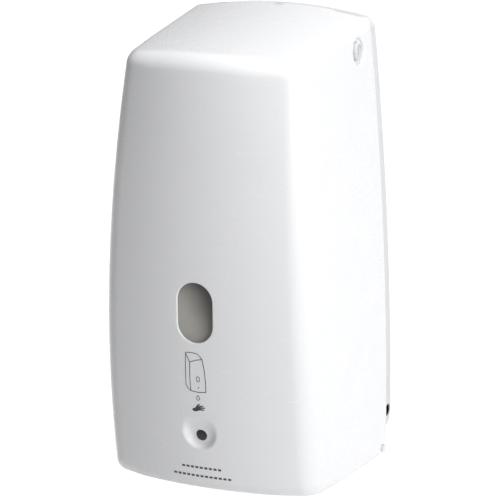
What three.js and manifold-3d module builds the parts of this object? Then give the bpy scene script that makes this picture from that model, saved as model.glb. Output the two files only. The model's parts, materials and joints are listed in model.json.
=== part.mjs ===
// A wall mounted soap dispenser with a sensor, a refillable tank and a battery-driven hose pump.
// Millimetres, +Z up, +X to the right of someone facing it, the wall at y = 0 and the front towards -y.
// Heights inside the file are counted from the cover's bottom edge; the last lines drop the whole
// group by half the cover's height, so that the origin is the middle of the face against the wall.

import * as THREE from 'three';
import { LoftGeometry } from 'three/addons/geometries/LoftGeometry.js';
import { mergeVertices } from 'three/addons/utils/BufferGeometryUtils.js';
import Module from 'manifold-3d';

const wasm = await Module();
wasm.setup();

// ---------------------------------------------------------------- driving dimensions

const HEIGHT = 270;
const WALL = 2.5;
const GAP = 0.3;
const TAU = Math.PI * 2;

// the cover's outline in plan, given at its bottom, its middle and its top
const RIM_Y = -9;
const RIM_HALF_WIDTH = [70.5, 67.5, 57];
const FRONT_HALF_WIDTH = [65.5, 63.8, 55.5];
const CORNER_DEPTH = [93.5, 105.3, 93.4];
const FRONT_BOW = 12;
const CORNER_RADIUS = 11.5;
const ROOF_ARCH = 6.2;
const ROOF_SLOPE = 0.148;
const ROOF_RADIUS = 6;
const BOTTOM_RADIUS = 3;
const BOTTOM_CORNER_RADIUS = 6.5;
const LIP = 2.5;

// features of the cover
const WINDOW = { z: 109.5, width: 22.2, height: 35.7 };
const SENSOR = { z: 33.9, rim: 12, lens: 4, tilt: 20 };
const LOCK = { y: -28.5, z: 248, recess: 7.8, floorX: 56.2, sleeve: 5.4, barrel: 3.4 };
const HINGE = { y: -14.5, z: 5.5, pin: 2, earX: 60, earWidth: 4.5 };

// the back plate
const PLATE = { inset: 1, bottom: 12, chamfer: 8, floor: 3, wall: 3.6, lipDepth: 15 };
const SLOT = { x: 40, zs: [95, 215], width: 5, length: 10 };
const JACK = { y: -4.7, z: 26.2, radius: 3.6, length: 12 };

// the tank and what belongs to it
const TANK = { halfWidth: 50, back: -24, front: -106, bow: 8, bottom: 82.6, top: 222, wall: 2 };
const MOUTH = { y: -60, radius: 17, neck: 20, capRadius: 23 };
const OUTLET = { x: 0, y: -67, radius: 7 };

// the drive case below the tank
const CASE = { halfWidth: 54, back: -20, front: -88, panelFront: -100, bottom: 8, top: 82, wall: 2.2 };

// the pump and its gears: axes along y, all in one vertical plane
const PUMP = { x: -14, z: 44, hoseLoop: 14, hose: 3, bore: 1.5, rollerOrbit: 7, roller: 3.6 };
const GEAR_MODULE = 0.8;
const TEETH = { pinion: 9, wheel: 27, small: 10, output: 30 };
const MESH_SLACK = 0.1;

// the battery bay
const CELL = { radius: 7.25, length: 50.5, xs: [26, 42.2], ys: [-63.5, -79.5], bottom: 20.5 };

// ---------------------------------------------------------------- solids, joins and cuts

const toSolid = (geometry) => {
  const bare = new THREE.BufferGeometry().copy(geometry);
  bare.deleteAttribute('normal');
  bare.deleteAttribute('uv');
  const merged = mergeVertices(bare, 1e-4);
  const vertProperties = new Float32Array(merged.attributes.position.array);
  const triVerts = new Uint32Array(merged.index.array);
  return new wasm.Manifold(new wasm.Mesh({ numProp: 3, vertProperties, triVerts }));
};

const toGeometry = (solid) => {
  const mesh = solid.getMesh();
  const geometry = new THREE.BufferGeometry();
  geometry.setAttribute('position', new THREE.BufferAttribute(new Float32Array(mesh.vertProperties), 3));
  geometry.setIndex(new THREE.BufferAttribute(new Uint32Array(mesh.triVerts), 1));
  geometry.computeVertexNormals();
  return geometry;
};

const join = (first, ...others) => others.reduce((sum, one) => sum.add(one), first);
const cut = (first, ...others) => others.reduce((rest, one) => rest.subtract(one), first);

// a box between two corners
const block = (x0, x1, y0, y1, z0, z1) => {
  const geometry = new THREE.BoxGeometry(x1 - x0, y1 - y0, z1 - z0);
  geometry.translate((x0 + x1) / 2, (y0 + y1) / 2, (z0 + z1) / 2);
  return toSolid(geometry);
};

// turns a geometry made along +Z so that it points towards the front
const alongMinusY = (geometry) => geometry.rotateX(Math.PI / 2);

// a round bar standing on (x, y, z) and going up, or lying along x or towards the front
const standing = (x, y, z, radius, length, sides = 24, topRadius = radius) => {
  const geometry = new THREE.CylinderGeometry(topRadius, radius, length, sides);
  return toSolid(geometry.rotateX(Math.PI / 2).translate(x, y, z + length / 2));
};
const lyingX = (x, y, z, radius, length, sides = 24) => {
  const geometry = new THREE.CylinderGeometry(radius, radius, length, sides);
  return toSolid(geometry.rotateZ(Math.PI / 2).translate(x + length / 2, y, z));
};
const lyingY = (x, y, z, radius, length, sides = 24) => {
  const geometry = new THREE.CylinderGeometry(radius, radius, length, sides);
  return toSolid(geometry.translate(x, y - length / 2, z));
};

// a flat outline in (x, z) pulled towards the front from y
const frontPlate = (shape, y, thickness, curveSegments = 8) => {
  const geometry = new THREE.ExtrudeGeometry(shape, { depth: thickness, bevelEnabled: false, curveSegments });
  return toSolid(alongMinusY(geometry).translate(0, y, 0));
};

// an upright oval with round ends, or an upright rectangle with rounded corners
const roundedOutline = (x, z, width, height, radius) => {
  const shape = new THREE.Shape();
  const right = x + width / 2 - radius;
  const left = x - width / 2 + radius;
  const top = z + height / 2 - radius;
  const bottom = z - height / 2 + radius;
  shape.absarc(right, top, radius, 0, TAU / 4);
  shape.absarc(left, top, radius, TAU / 4, TAU / 2);
  shape.absarc(left, bottom, radius, TAU / 2, TAU * 3 / 4);
  shape.absarc(right, bottom, radius, TAU * 3 / 4, TAU);
  shape.closePath();
  return shape;
};

// a ring or cup turned about the z axis from a closed profile of (radius, height) pairs
const turned = (profile, sides = 32) => {
  const points = profile.map(([radius, height]) => new THREE.Vector2(radius, height));
  points.push(points[0].clone());
  return new THREE.LatheGeometry(points, sides).rotateX(Math.PI / 2);
};

// ---------------------------------------------------------------- the outer shape

// a smooth value through three readings at the bottom, the middle and the top
const through = ([low, middle, high], share) => {
  const curve = 2 * (low + high) - 4 * middle;
  return low + (high - low - curve) * share + curve * share * share;
};

// the sides end where the roof's rounded edge begins
const TOP_SHARE = (HEIGHT - 8) / HEIGHT;
const roofHeight = (x, y) => HEIGHT - ROOF_ARCH * (x / 60) ** 2 - ROOF_SLOPE * (RIM_Y - y);

// the plan outline at one height, from the left rear corner round the front to the right rear corner
const planOutline = (share, inset, rearY) => {
  const halfRear = through(RIM_HALF_WIDTH, share) - inset;
  const halfFront = through(FRONT_HALF_WIDTH, share) - inset;
  const cornerY = RIM_Y - through(CORNER_DEPTH, share) + inset;
  const frontRadius = (halfFront ** 2 + FRONT_BOW ** 2) / (2 * FRONT_BOW);
  const arcY = cornerY - FRONT_BOW + frontRadius;
  const radius = Math.max(CORNER_RADIUS - inset, 1);

  const rear = new THREE.Vector2(halfRear, RIM_Y);
  const along = new THREE.Vector2(halfFront - halfRear, cornerY - RIM_Y).normalize();
  const inward = new THREE.Vector2(along.y, -along.x);
  const start = rear.clone().addScaledVector(inward, radius);
  const toArc = start.clone().sub(new THREE.Vector2(0, arcY));
  const half = toArc.dot(along);
  const reach = -half + Math.sqrt(half ** 2 - toArc.lengthSq() + (frontRadius - radius) ** 2);
  const centre = start.clone().addScaledVector(along, reach);

  const sideAngle = Math.atan2(-inward.y, -inward.x);
  const frontAngle = Math.atan2(centre.y - arcY, centre.x);
  const rearPoint = rear.clone().addScaledVector(along, (rearY - RIM_Y) / along.y);
  const sideEnd = centre.clone().addScaledVector(inward, -radius);
  const right = [rearPoint, rearPoint.clone().lerp(sideEnd, 0.5)];
  const cornerSteps = 3;
  for (let i = 0; i <= cornerSteps; i++) {
    const angle = sideAngle + (frontAngle - sideAngle) * i / cornerSteps;
    right.push(new THREE.Vector2(Math.cos(angle), Math.sin(angle)).multiplyScalar(radius).add(centre));
  }
  const frontSteps = 4;
  for (let i = 1; i <= frontSteps; i++) {
    const angle = frontAngle + (-TAU / 4 - frontAngle) * i / frontSteps;
    right.push(new THREE.Vector2(Math.cos(angle), Math.sin(angle)).multiplyScalar(frontRadius)
      .add(new THREE.Vector2(0, arcY)));
  }
  const left = right.slice(0, -1).map((point) => new THREE.Vector2(-point.x, point.y));
  return left.concat(right.reverse());
};

// each point moved in from the edge by its own amount; the rear points only move sideways
const drawnIn = (outline, amount) => outline.map((point, i) => {
  const before = outline[Math.max(i - 1, 0)];
  const after = outline[Math.min(i + 1, outline.length - 1)];
  const tangent = after.clone().sub(before).normalize();
  const normal = new THREE.Vector2(-tangent.y, tangent.x);
  if (i === 0 || i === outline.length - 1) normal.set(-Math.sign(point.x), 0);
  return point.clone().addScaledVector(normal, amount(i, outline.length));
});

const CORNER_POINTS = [2, 3, 4];
const nearCorner = (i, count) => CORNER_POINTS.includes(Math.min(i, count - 1 - i));

// the closed outer form of the cover, or, with an inset, of the room inside it
const coverForm = (inset, rearY, floorZ) => {
  const sections = [];
  const roof = (point) => roofHeight(point.x, point.y) - inset;
  const edge = Math.max(ROOF_RADIUS - inset, 1.5);
  const lay = (outline, height) => outline.map((point, i) => new THREE.Vector3(point.x, point.y, height(point, i)));

  const outlineAt = (share) => planOutline(share, inset, rearY);
  if (inset === 0) {
    for (const turn of [0, 0.5]) {
      const base = outlineAt(0);
      const radiusAt = (i) => (nearCorner(i, base.length) ? BOTTOM_CORNER_RADIUS : BOTTOM_RADIUS);
      const angle = turn * TAU / 4;
      const outline = drawnIn(base, (i) => radiusAt(i) * (1 - Math.sin(angle)));
      sections.push(lay(outline, (point, i) => radiusAt(i) * (1 - Math.cos(angle))));
    }
    const lifted = outlineAt(0);
    sections.push(lay(lifted, (point, i) =>
      (nearCorner(i, lifted.length) ? BOTTOM_CORNER_RADIUS : BOTTOM_RADIUS)));
  } else {
    sections.push(lay(outlineAt(0), () => floorZ));
  }
  const levels = inset === 0 ? 9 : 7;
  for (let level = 1; level <= levels; level++) {
    const share = level / levels;
    sections.push(lay(outlineAt(share * TOP_SHARE), (point) => share * (roof(point) - edge)));
  }
  const top = outlineAt(TOP_SHARE);
  for (const turn of [0.5, 1]) {
    const angle = turn * TAU / 4;
    const outline = drawnIn(top, () => edge * (1 - Math.cos(angle)));
    sections.push(lay(outline, (point) => roof(point) - edge * (1 - Math.sin(angle))));
  }
  const rim = drawnIn(top, () => edge);
  for (const scale of [0.7, 0.35, 0.03]) {
    const shrunk = rim.map((point) => new THREE.Vector2(point.x * scale, rearY + (point.y - rearY) * scale));
    sections.push(lay(shrunk, roof));
  }
  return toSolid(new LoftGeometry(sections, { capStart: true, capEnd: true }));
};

// ---------------------------------------------------------------- the cover and its fittings

// where the middle of the front face lies at one height
const frontFaceY = (z) => {
  const deepest = RIM_Y - CORNER_DEPTH[1] - FRONT_BOW;
  const share = z / (roofHeight(0, deepest) - ROOF_RADIUS) * TOP_SHARE;
  return RIM_Y - through(CORNER_DEPTH, share) - FRONT_BOW;
};

// the scoop round the sensor: a flared hollow cut off by a floor that leans forward and down
const sensorScoop = () => {
  const faceY = frontFaceY(SENSOR.z);
  const deep = 8;
  const flare = new THREE.CylinderGeometry(SENSOR.rim, SENSOR.rim - deep, deep, 20);
  const cone = toSolid(flare.translate(0, faceY + deep / 2, SENSOR.z));
  const mouth = lyingY(0, faceY, SENSOR.z, SENSOR.rim, 4, 20);
  const floor = new THREE.BoxGeometry(60, 30, 60);
  floor.rotateX(-SENSOR.tilt * TAU / 360);
  const reach = 15 / Math.cos(SENSOR.tilt * TAU / 360);
  const topDrop = Math.tan(SENSOR.tilt * TAU / 360) * SENSOR.rim * 0.6;
  floor.translate(0, faceY + topDrop - reach, SENSOR.z);
  return join(cone, mouth).intersect(toSolid(floor));
};

const lensDirection = () => new THREE.Vector3(0, -1, 0)
  .applyAxisAngle(new THREE.Vector3(1, 0, 0), SENSOR.tilt * TAU / 360);

// a round bar along the sensor's line of sight, from `behind` mm behind the scoop's floor
const alongSight = (radius, behind, length, sides = 24) => {
  const geometry = new THREE.CylinderGeometry(radius, radius, length, sides);
  geometry.rotateX(SENSOR.tilt * TAU / 360);
  const topDrop = Math.tan(SENSOR.tilt * TAU / 360) * SENSOR.rim * 0.6;
  const centre = new THREE.Vector3(0, frontFaceY(SENSOR.z) + topDrop, SENSOR.z);
  centre.addScaledVector(lensDirection(), length / 2 - behind);
  return toSolid(geometry.translate(centre.x, centre.y, centre.z));
};

const frontCover = () => {
  const outer = coverForm(0, RIM_Y, 0);
  const room = coverForm(WALL, RIM_Y + 6, -1);
  const lipRoom = coverForm(WALL + LIP, RIM_Y + 6, -2).intersect(block(-90, 90, -140, 20, -4, 6));
  const raised = room.subtract(block(-90, 90, -140, 20, -4, BOTTOM_RADIUS));
  let shell = cut(outer, raised, lipRoom);

  const lockBoss = lyingX(LOCK.floorX - 3, LOCK.y, LOCK.z, LOCK.recess + 2, 6, 16);
  shell = join(shell, lockBoss.intersect(outer));
  const lockRecess = lyingX(LOCK.floorX, LOCK.y, LOCK.z, LOCK.recess, 10, 20);
  const lockHole = lyingX(LOCK.floorX - 10, LOCK.y, LOCK.z, LOCK.sleeve + GAP, 20, 16);

  const backing = alongSight(SENSOR.lens + 3.6, 5, 7, 14).intersect(outer);
  shell = cut(join(shell, backing), sensorScoop());
  const lensHole = alongSight(SENSOR.lens + GAP, 12, 30, 16);

  const windowShape = roundedOutline(0, WINDOW.z, WINDOW.width, WINDOW.height, WINDOW.width / 2 - 0.01);
  const windowHole = frontPlate(windowShape, -100, 40, 5);
  const hingeHole = lyingX(-90, HINGE.y, HINGE.z, HINGE.pin + GAP, 180, 12);
  return cut(shell, lockRecess, lockHole, lensHole, windowHole, hingeHole);
};

const sightWindow = () => {
  const pane = roundedOutline(0, WINDOW.z, WINDOW.width + 6, WINDOW.height + 6, WINDOW.width / 2 + 2.9);
  const faceY = frontFaceY(WINDOW.z) + WALL + 1.6;
  return frontPlate(pane, faceY + 1.8, 1.8, 5);
};

const sensorLens = () => alongSight(SENSOR.lens, 3, 3.4, 16);

const lensRetainer = () => cut(alongSight(SENSOR.lens + 3, 7.6, 2, 14), alongSight(SENSOR.lens - 1, 8, 4, 12));

const lockSleeve = () => {
  const length = 11;
  const body = lyingX(LOCK.floorX + 2.5 - length, LOCK.y, LOCK.z, LOCK.sleeve, length, 16);
  return cut(body, lyingX(LOCK.floorX - 20, LOCK.y, LOCK.z, LOCK.barrel + GAP, 40, 16));
};

const lockNut = () => {
  const nut = lyingX(LOCK.floorX - 5.8, LOCK.y, LOCK.z, LOCK.sleeve + 3, 2.4, 6);
  return cut(nut, lyingX(LOCK.floorX - 8, LOCK.y, LOCK.z, LOCK.sleeve + GAP, 8, 16));
};

// the turning barrel, with a slot for a flat key in its outer end
const lockBarrel = () => {
  const start = LOCK.floorX - 11;
  const body = lyingX(start, LOCK.y, LOCK.z, LOCK.barrel, 13.2, 16);
  const tenon = block(start - 2.6, start + 1, LOCK.y - 1.6, LOCK.y + 1.6, LOCK.z - 1.6, LOCK.z + 1.6);
  const keySlot = block(LOCK.floorX - 2, LOCK.floorX + 4, LOCK.y - 0.6, LOCK.y + 0.6, LOCK.z - 2.4, LOCK.z + 2.4);
  return cut(join(body, tenon), keySlot);
};

// a flat cam that points to the wall when unlocked and down behind the keeper when locked
const lockCam = () => {
  const x = LOCK.floorX - 13.3;
  const plate = block(x, x + 1.8, LOCK.y - 4, LOCK.y + 15.5, LOCK.z - 4, LOCK.z + 4);
  const play = 1.6 + GAP;
  return cut(plate, block(x - 1, x + 4, LOCK.y - play, LOCK.y + play, LOCK.z - play, LOCK.z + play));
};

// ---------------------------------------------------------------- the back plate

// the plate's outline in (x, z): the cover's rear outline, drawn in, with its lower corners cut off
const plateShape = (inset, bottom, y = RIM_Y) => {
  const shape = new THREE.Shape();
  const right = [];
  const steps = 7;
  const edge = ROOF_RADIUS;
  for (let i = 0; i <= steps; i++) {
    const share = i / steps;
    const x = through(RIM_HALF_WIDTH, share * TOP_SHARE) - inset;
    const z = share * (roofHeight(x, y) - edge);
    if (z > bottom + PLATE.chamfer) right.push([x, z]);
  }
  const lowX = through(RIM_HALF_WIDTH, 0) - inset;
  right.unshift([lowX - PLATE.chamfer * 0.5, bottom], [lowX - 0.3, bottom + PLATE.chamfer]);
  const topX = through(RIM_HALF_WIDTH, TOP_SHARE) - inset;
  for (const turn of [0.5, 1]) {
    const angle = turn * TAU / 4;
    const x = topX - edge * (1 - Math.cos(angle));
    right.push([x, roofHeight(x, y) - inset - edge * (1 - Math.sin(angle))]);
  }
  for (const x of [28]) right.push([x, roofHeight(x, y) - inset]);
  const left = right.map(([x, z]) => [-x, z]).reverse();
  const points = right.concat([[0, roofHeight(0, y) - inset]], left);
  shape.setFromPoints(points.map(([x, z]) => new THREE.Vector2(x, z)));
  return shape;
};

const CASE_POSTS = [[-46, 19], [46, 19], [-46, 73], [46, 73]];

const backPlate = () => {
  const tray = frontPlate(plateShape(PLATE.inset, PLATE.bottom), 0, -RIM_Y - GAP);
  const lipOutside = WALL + 0.6;
  const lip = frontPlate(plateShape(lipOutside, PLATE.bottom + 2, -PLATE.lipDepth), 0, PLATE.lipDepth);
  const inside = frontPlate(plateShape(PLATE.inset + PLATE.wall, PLATE.bottom + 3.6), -PLATE.floor, 40);
  let plate = cut(join(tray, lip), inside);

  const posts = CASE_POSTS.map(([x, z]) => lyingY(x, -PLATE.floor + 0.5, z, 4, -CASE.back - GAP - 2.5, 10));
  const rails = [-1, 1].map((side) => {
    const x = side * (TANK.halfWidth + 2.6);
    return block(x - 1.1, x + 1.1, -34, -PLATE.floor + 0.5, 90, 200);
  });
  const ears = [-1, 1].map((side) => {
    const x0 = side > 0 ? HINGE.earX : -HINGE.earX - HINGE.earWidth;
    const arm = block(x0, x0 + HINGE.earWidth, -19, -0.8, PLATE.bottom - 2, 30);
    const foot = block(x0, x0 + HINGE.earWidth, -19, -10.5, HINGE.z - 3.6, PLATE.bottom);
    return join(arm, foot);
  });
  plate = join(plate, ...posts, ...rails, ...ears);

  const slots = SLOT.zs.flatMap((z) => [-1, 1].map((side) =>
    frontPlate(roundedOutline(side * SLOT.x, z, SLOT.width, SLOT.length, SLOT.width / 2 - 0.01), 1, 3)));
  const postHoles = CASE_POSTS.map(([x, z]) => lyingY(x, -PLATE.floor - 4, z, 1.5, 30, 8));
  const pinHoles = lyingX(-90, HINGE.y, HINGE.z, HINGE.pin + GAP, 180, 12);
  const jackHole = lyingX(58, JACK.y, JACK.z, JACK.radius + GAP, 20, 14);
  const jackRoom = block(54, 65.8, JACK.y - 9, 1, JACK.z - 6, JACK.z + 6);
  return cut(plate, ...slots, ...postHoles, pinHoles, jackHole, jackRoom);
};

const lockKeeper = () => {
  const arm = block(43, 47, -36, -PLATE.floor - GAP, 228, 231.8);
  const tab = block(43, 47, -36, -33.4, 228, 238);
  const foot = block(38, 52, -PLATE.floor - GAP - 3, -PLATE.floor - GAP, 224, 236);
  return join(arm, tab, foot);
};

const hingePin = (side) => {
  const start = side > 0 ? HINGE.earX : -HINGE.earX - 10.6;
  return lyingX(start, HINGE.y, HINGE.z, HINGE.pin, 10.6, 16);
};

const jackBody = () => {
  const body = lyingX(57, JACK.y, JACK.z, JACK.radius, JACK.length, 14);
  const socket = lyingX(60, JACK.y, JACK.z, 2.75, 20, 14);
  return join(cut(body, socket), lyingX(59, JACK.y, JACK.z, 1, 8, 8));
};

// ---------------------------------------------------------------- the tank

const tankOutline = (inset, drop = 0) => {
  const { halfWidth, back, front, bow } = TANK;
  const x = halfWidth - inset;
  const rear = back - inset;
  const corner = front + inset;
  const round = 9 - inset;
  const shape = new THREE.Shape();
  shape.moveTo(x, rear);
  shape.lineTo(-x, rear);
  shape.lineTo(-x, corner + round);
  shape.quadraticCurveTo(-x, corner, -x + round, corner - drop);
  shape.quadraticCurveTo(0, corner - 2 * bow + drop, x - round, corner - drop);
  shape.quadraticCurveTo(x, corner, x, corner + round);
  shape.closePath();
  return shape;
};

const soapTank = () => {
  const block3 = (inset, z0, z1, bevel) => {
    const geometry = new THREE.ExtrudeGeometry(tankOutline(inset + bevel), {
      depth: z1 - z0 - 2 * bevel,
      bevelEnabled: true,
      bevelThickness: bevel,
      bevelSize: bevel,
      bevelSegments: 1,
      curveSegments: 4,
    });
    return toSolid(geometry.translate(0, 0, z0 + bevel));
  };
  const { bottom, top, wall } = TANK;
  const neck = standing(0, MOUTH.y, top - 1, MOUTH.neck, 9, 20);
  const spout = standing(OUTLET.x, OUTLET.y, bottom - 5, OUTLET.radius, 6, 16);
  const outer = join(block3(0, bottom, top, 3), neck, spout);
  const inner = block3(wall, bottom + wall, top - wall, 2);
  const mouth = standing(0, MOUTH.y, top - 6, MOUTH.radius, 20, 20);
  const drain = standing(OUTLET.x, OUTLET.y, bottom - 8, 4.4, 14, 12);
  return cut(outer, inner, mouth, drain);
};

const tankCap = () => {
  const base = TANK.top + 2;
  const body = standing(0, MOUTH.y, base, MOUTH.capRadius, 12, 24);
  const ribs = [];
  const ribCount = 8;
  for (let i = 0; i < ribCount; i++) {
    const angle = TAU * i / ribCount;
    const x = Math.cos(angle) * MOUTH.capRadius;
    const y = MOUTH.y + Math.sin(angle) * MOUTH.capRadius;
    ribs.push(standing(x, y, base, 1.2, 11, 6));
  }
  const room = standing(0, MOUTH.y, base - 1, MOUTH.neck + 0.6, 10.6, 20);
  return cut(join(body, ...ribs), room);
};

const capSeal = () => {
  const seat = TANK.top + 8 + GAP;
  return toSolid(turned([[MOUTH.radius + 0.5, seat], [MOUTH.neck - 0.2, seat],
    [MOUTH.neck - 0.2, seat + 1], [MOUTH.radius + 0.5, seat + 1]], 20).translate(0, MOUTH.y, 0));
};

// the poppet that the seat's post holds up while the tank sits on it
const outletValve = () => {
  const z = TANK.bottom;
  const stem = standing(OUTLET.x, OUTLET.y, z - 4.5, 1.6, 22, 12);
  const head = standing(OUTLET.x, OUTLET.y, z + 7.6, 6.2, 2.4, 20);
  return join(stem, head);
};

const outletSeal = () => {
  const z = TANK.bottom - 3.2;
  const inner = OUTLET.radius + GAP;
  return toSolid(turned([[inner, z], [inner + 1.6, z], [inner + 1.6, z + 1.6], [inner, z + 1.6]], 16)
    .translate(OUTLET.x, OUTLET.y, 0));
};

// ---------------------------------------------------------------- the drive case

const driveCase = () => {
  const { halfWidth, back, front, bottom, top, wall } = CASE;
  const outer = block(-halfWidth, halfWidth, front, back, bottom, top);
  const inner = block(-halfWidth + wall, halfWidth - wall, front - 1, back - wall, bottom + wall, top - wall);
  const seatHole = standing(OUTLET.x, OUTLET.y, top - 6, OUTLET.radius + 3.4, 10, 18);
  const nozzleHole = standing(OUTLET.x, OUTLET.y, bottom - 1, 6, 6, 16);
  const holes = CASE_POSTS.map(([x, z]) => lyingY(x, back + 1, z, 1.8, 6, 12));
  return cut(outer, inner, seatHole, nozzleHole, ...holes);
};

// the cup that the tank's spout drops into, with a post that lifts the poppet
const tankSeat = () => {
  const top = CASE.top - GAP - 0.2;
  const low = top - 10;
  const cup = standing(OUTLET.x, OUTLET.y, low, OUTLET.radius + 3, 10, 18);
  const spigot = standing(OUTLET.x, OUTLET.y, low - 6, PUMP.bore - GAP, 7, 10);
  const room = standing(OUTLET.x, OUTLET.y, low + 2, OUTLET.radius + 2.2, 10, 18);
  const bore = standing(OUTLET.x + 3.2, OUTLET.y, low - 1, 1.1, 5, 10);
  const way = standing(OUTLET.x, OUTLET.y, low - 8, 0.6, 9, 8);
  const gallery = block(-0.5, OUTLET.x + 3.2, OUTLET.y - 0.5, OUTLET.y + 0.5, low + 0.6, low + 1.4);
  return cut(join(cut(cup, room), spigot), bore, way, gallery);
};

const caseScrew = (x, y, z) => {
  const head = lyingY(x, y, z, 2.9, 1.8, 10);
  const shank = lyingY(x, y + 9, z, 1.2, 9.5, 6);
  const cross = join(
    block(x - 1.7, x + 1.7, y - 3, y - 0.9, z - 0.35, z + 0.35),
    block(x - 0.35, x + 0.35, y - 3, y - 0.9, z - 1.7, z + 1.7));
  return cut(join(head, shank), cross);
};

const PANEL_SCREWS = [[-49.5, 14], [-49.5, 76.5], [12.5, 14], [12.5, 76.5]];
const SWITCH = { x: -38, z: 62 };
const BUTTON = { x: -38, z: 42, radius: 4 };
const BAY = { x0: 17, x1: 51, z0: 12.5, z1: 78 };

const drivePanel = () => {
  const { halfWidth, front, panelFront, bottom, top, wall } = CASE;
  const outer = block(-halfWidth, halfWidth, panelFront, front - GAP, bottom, top);
  const inner = block(-halfWidth + wall, halfWidth - wall, panelFront + wall, front + 1, bottom + wall, top - wall);
  const snout = block(-15, 15, -106.5, panelFront + 1, 25, 50);
  const snoutRoom = block(-13, 13, -105, front + 1, 27, 48);
  const sightHole = alongSight(5, 20, 30, 16);
  const bosses = PANEL_SCREWS.map(([x, z]) => lyingY(x, front - GAP, z, 3, 11, 12));
  const bossHoles = PANEL_SCREWS.map(([x, z]) => lyingY(x, front + 1, z, 1.5, 20, 10));
  const bay = block(BAY.x0 + 1.5, BAY.x1 - 1.5, panelFront - 2, front + 1, 20, 71.5);
  const slider = block(SWITCH.x - 5, SWITCH.x + 5, panelFront - 1, panelFront + 4, SWITCH.z - 2, SWITCH.z + 2);
  const button = lyingY(BUTTON.x, panelFront + 4, BUTTON.z, BUTTON.radius + GAP, 8, 20);
  const shell = join(cut(join(outer, snout), inner, snoutRoom), ...bosses);
  return cut(shell, sightHole, ...bossHoles, bay, slider, button);
};

const panelScrew = (x, z) => {
  const head = lyingY(x, CASE.panelFront - GAP, z, 2.7, 1.6, 10);
  const shank = lyingY(x, CASE.front - 3, z, 1.2, -CASE.panelFront + CASE.front + 3.6, 6);
  const cross = block(x - 1.6, x + 1.6, CASE.panelFront - 3, CASE.panelFront - 1.1, z - 0.35, z + 0.35);
  return cut(join(head, shank), cross);
};

const switchKnob = () => {
  const { x, z } = SWITCH;
  const tab = block(x - 4.6, x - 1.4, CASE.panelFront - 1.6, CASE.panelFront + 3, z - 1.6, z + 1.6);
  const slide = block(x - 7, x + 1, CASE.panelFront + 2.6, CASE.panelFront + 4, z - 3, z + 3);
  return join(tab, slide);
};

const doseButton = () => {
  const cap = lyingY(BUTTON.x, CASE.panelFront + 5, BUTTON.z, BUTTON.radius, 6.6, 20);
  const flange = lyingY(BUTTON.x, CASE.panelFront + 5, BUTTON.z, BUTTON.radius + 1.4, 1.4, 20);
  return join(cap, flange);
};

// ---------------------------------------------------------------- the pump

const pumpHousing = () => {
  const outerRadius = PUMP.hoseLoop + PUMP.hose + 3;
  const back = lyingY(PUMP.x, -58, PUMP.z, outerRadius, 2, 24);
  const rim = lyingY(PUMP.x, -59, PUMP.z, outerRadius, 15, 24);
  const race = lyingY(PUMP.x, -58.5, PUMP.z, PUMP.hoseLoop + PUMP.hose + 0.6, 20, 24);
  const away = block(PUMP.x + 1, 40, -90, -60, 0, 90);
  const shaftHole = lyingY(PUMP.x, -50, PUMP.z, 1.8, 20, 12);
  return cut(join(back, cut(rim, race, away)), shaftHole);
};

const pumpCover = () => {
  const outerRadius = PUMP.hoseLoop + PUMP.hose + 3;
  const plate = lyingY(PUMP.x, -74 - GAP, PUMP.z, outerRadius, 1.8, 24);
  return cut(plate, lyingY(PUMP.x, -60, PUMP.z, 1.8, 30, 12));
};

const rollerPlaces = [0, 1, 2].map((i) => {
  const angle = TAU / 4 + TAU * i / 3;
  return [PUMP.x + Math.cos(angle) * PUMP.rollerOrbit, PUMP.z + Math.sin(angle) * PUMP.rollerOrbit];
});

const DISC_RADIUS = 10.2;

const pumpRotor = () => {
  const disc = lyingY(PUMP.x, -60.8, PUMP.z, DISC_RADIUS, 1.6, 20);
  const hub = lyingY(PUMP.x, -62, PUMP.z, 2.8, 9.2, 16);
  const pins = rollerPlaces.map(([x, z]) => lyingY(x, -62, z, 1.2, 9.2, 10));
  return cut(join(disc, hub, ...pins), lyingY(PUMP.x, -50, PUMP.z, 1.8, 40, 12));
};

const rotorCap = () => cut(lyingY(PUMP.x, -71.6, PUMP.z, DISC_RADIUS, 1.6, 20),
  lyingY(PUMP.x, -60, PUMP.z, 1.8, 40, 12));

const pumpRoller = ([x, z]) => cut(lyingY(x, -62.8, z, PUMP.roller, 8.4, 16), lyingY(x, -60, z, 1.5, 20, 10));

const rotorShaft = () => lyingY(PUMP.x, -50, PUMP.z, 1.5, 25.5, 12);

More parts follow.
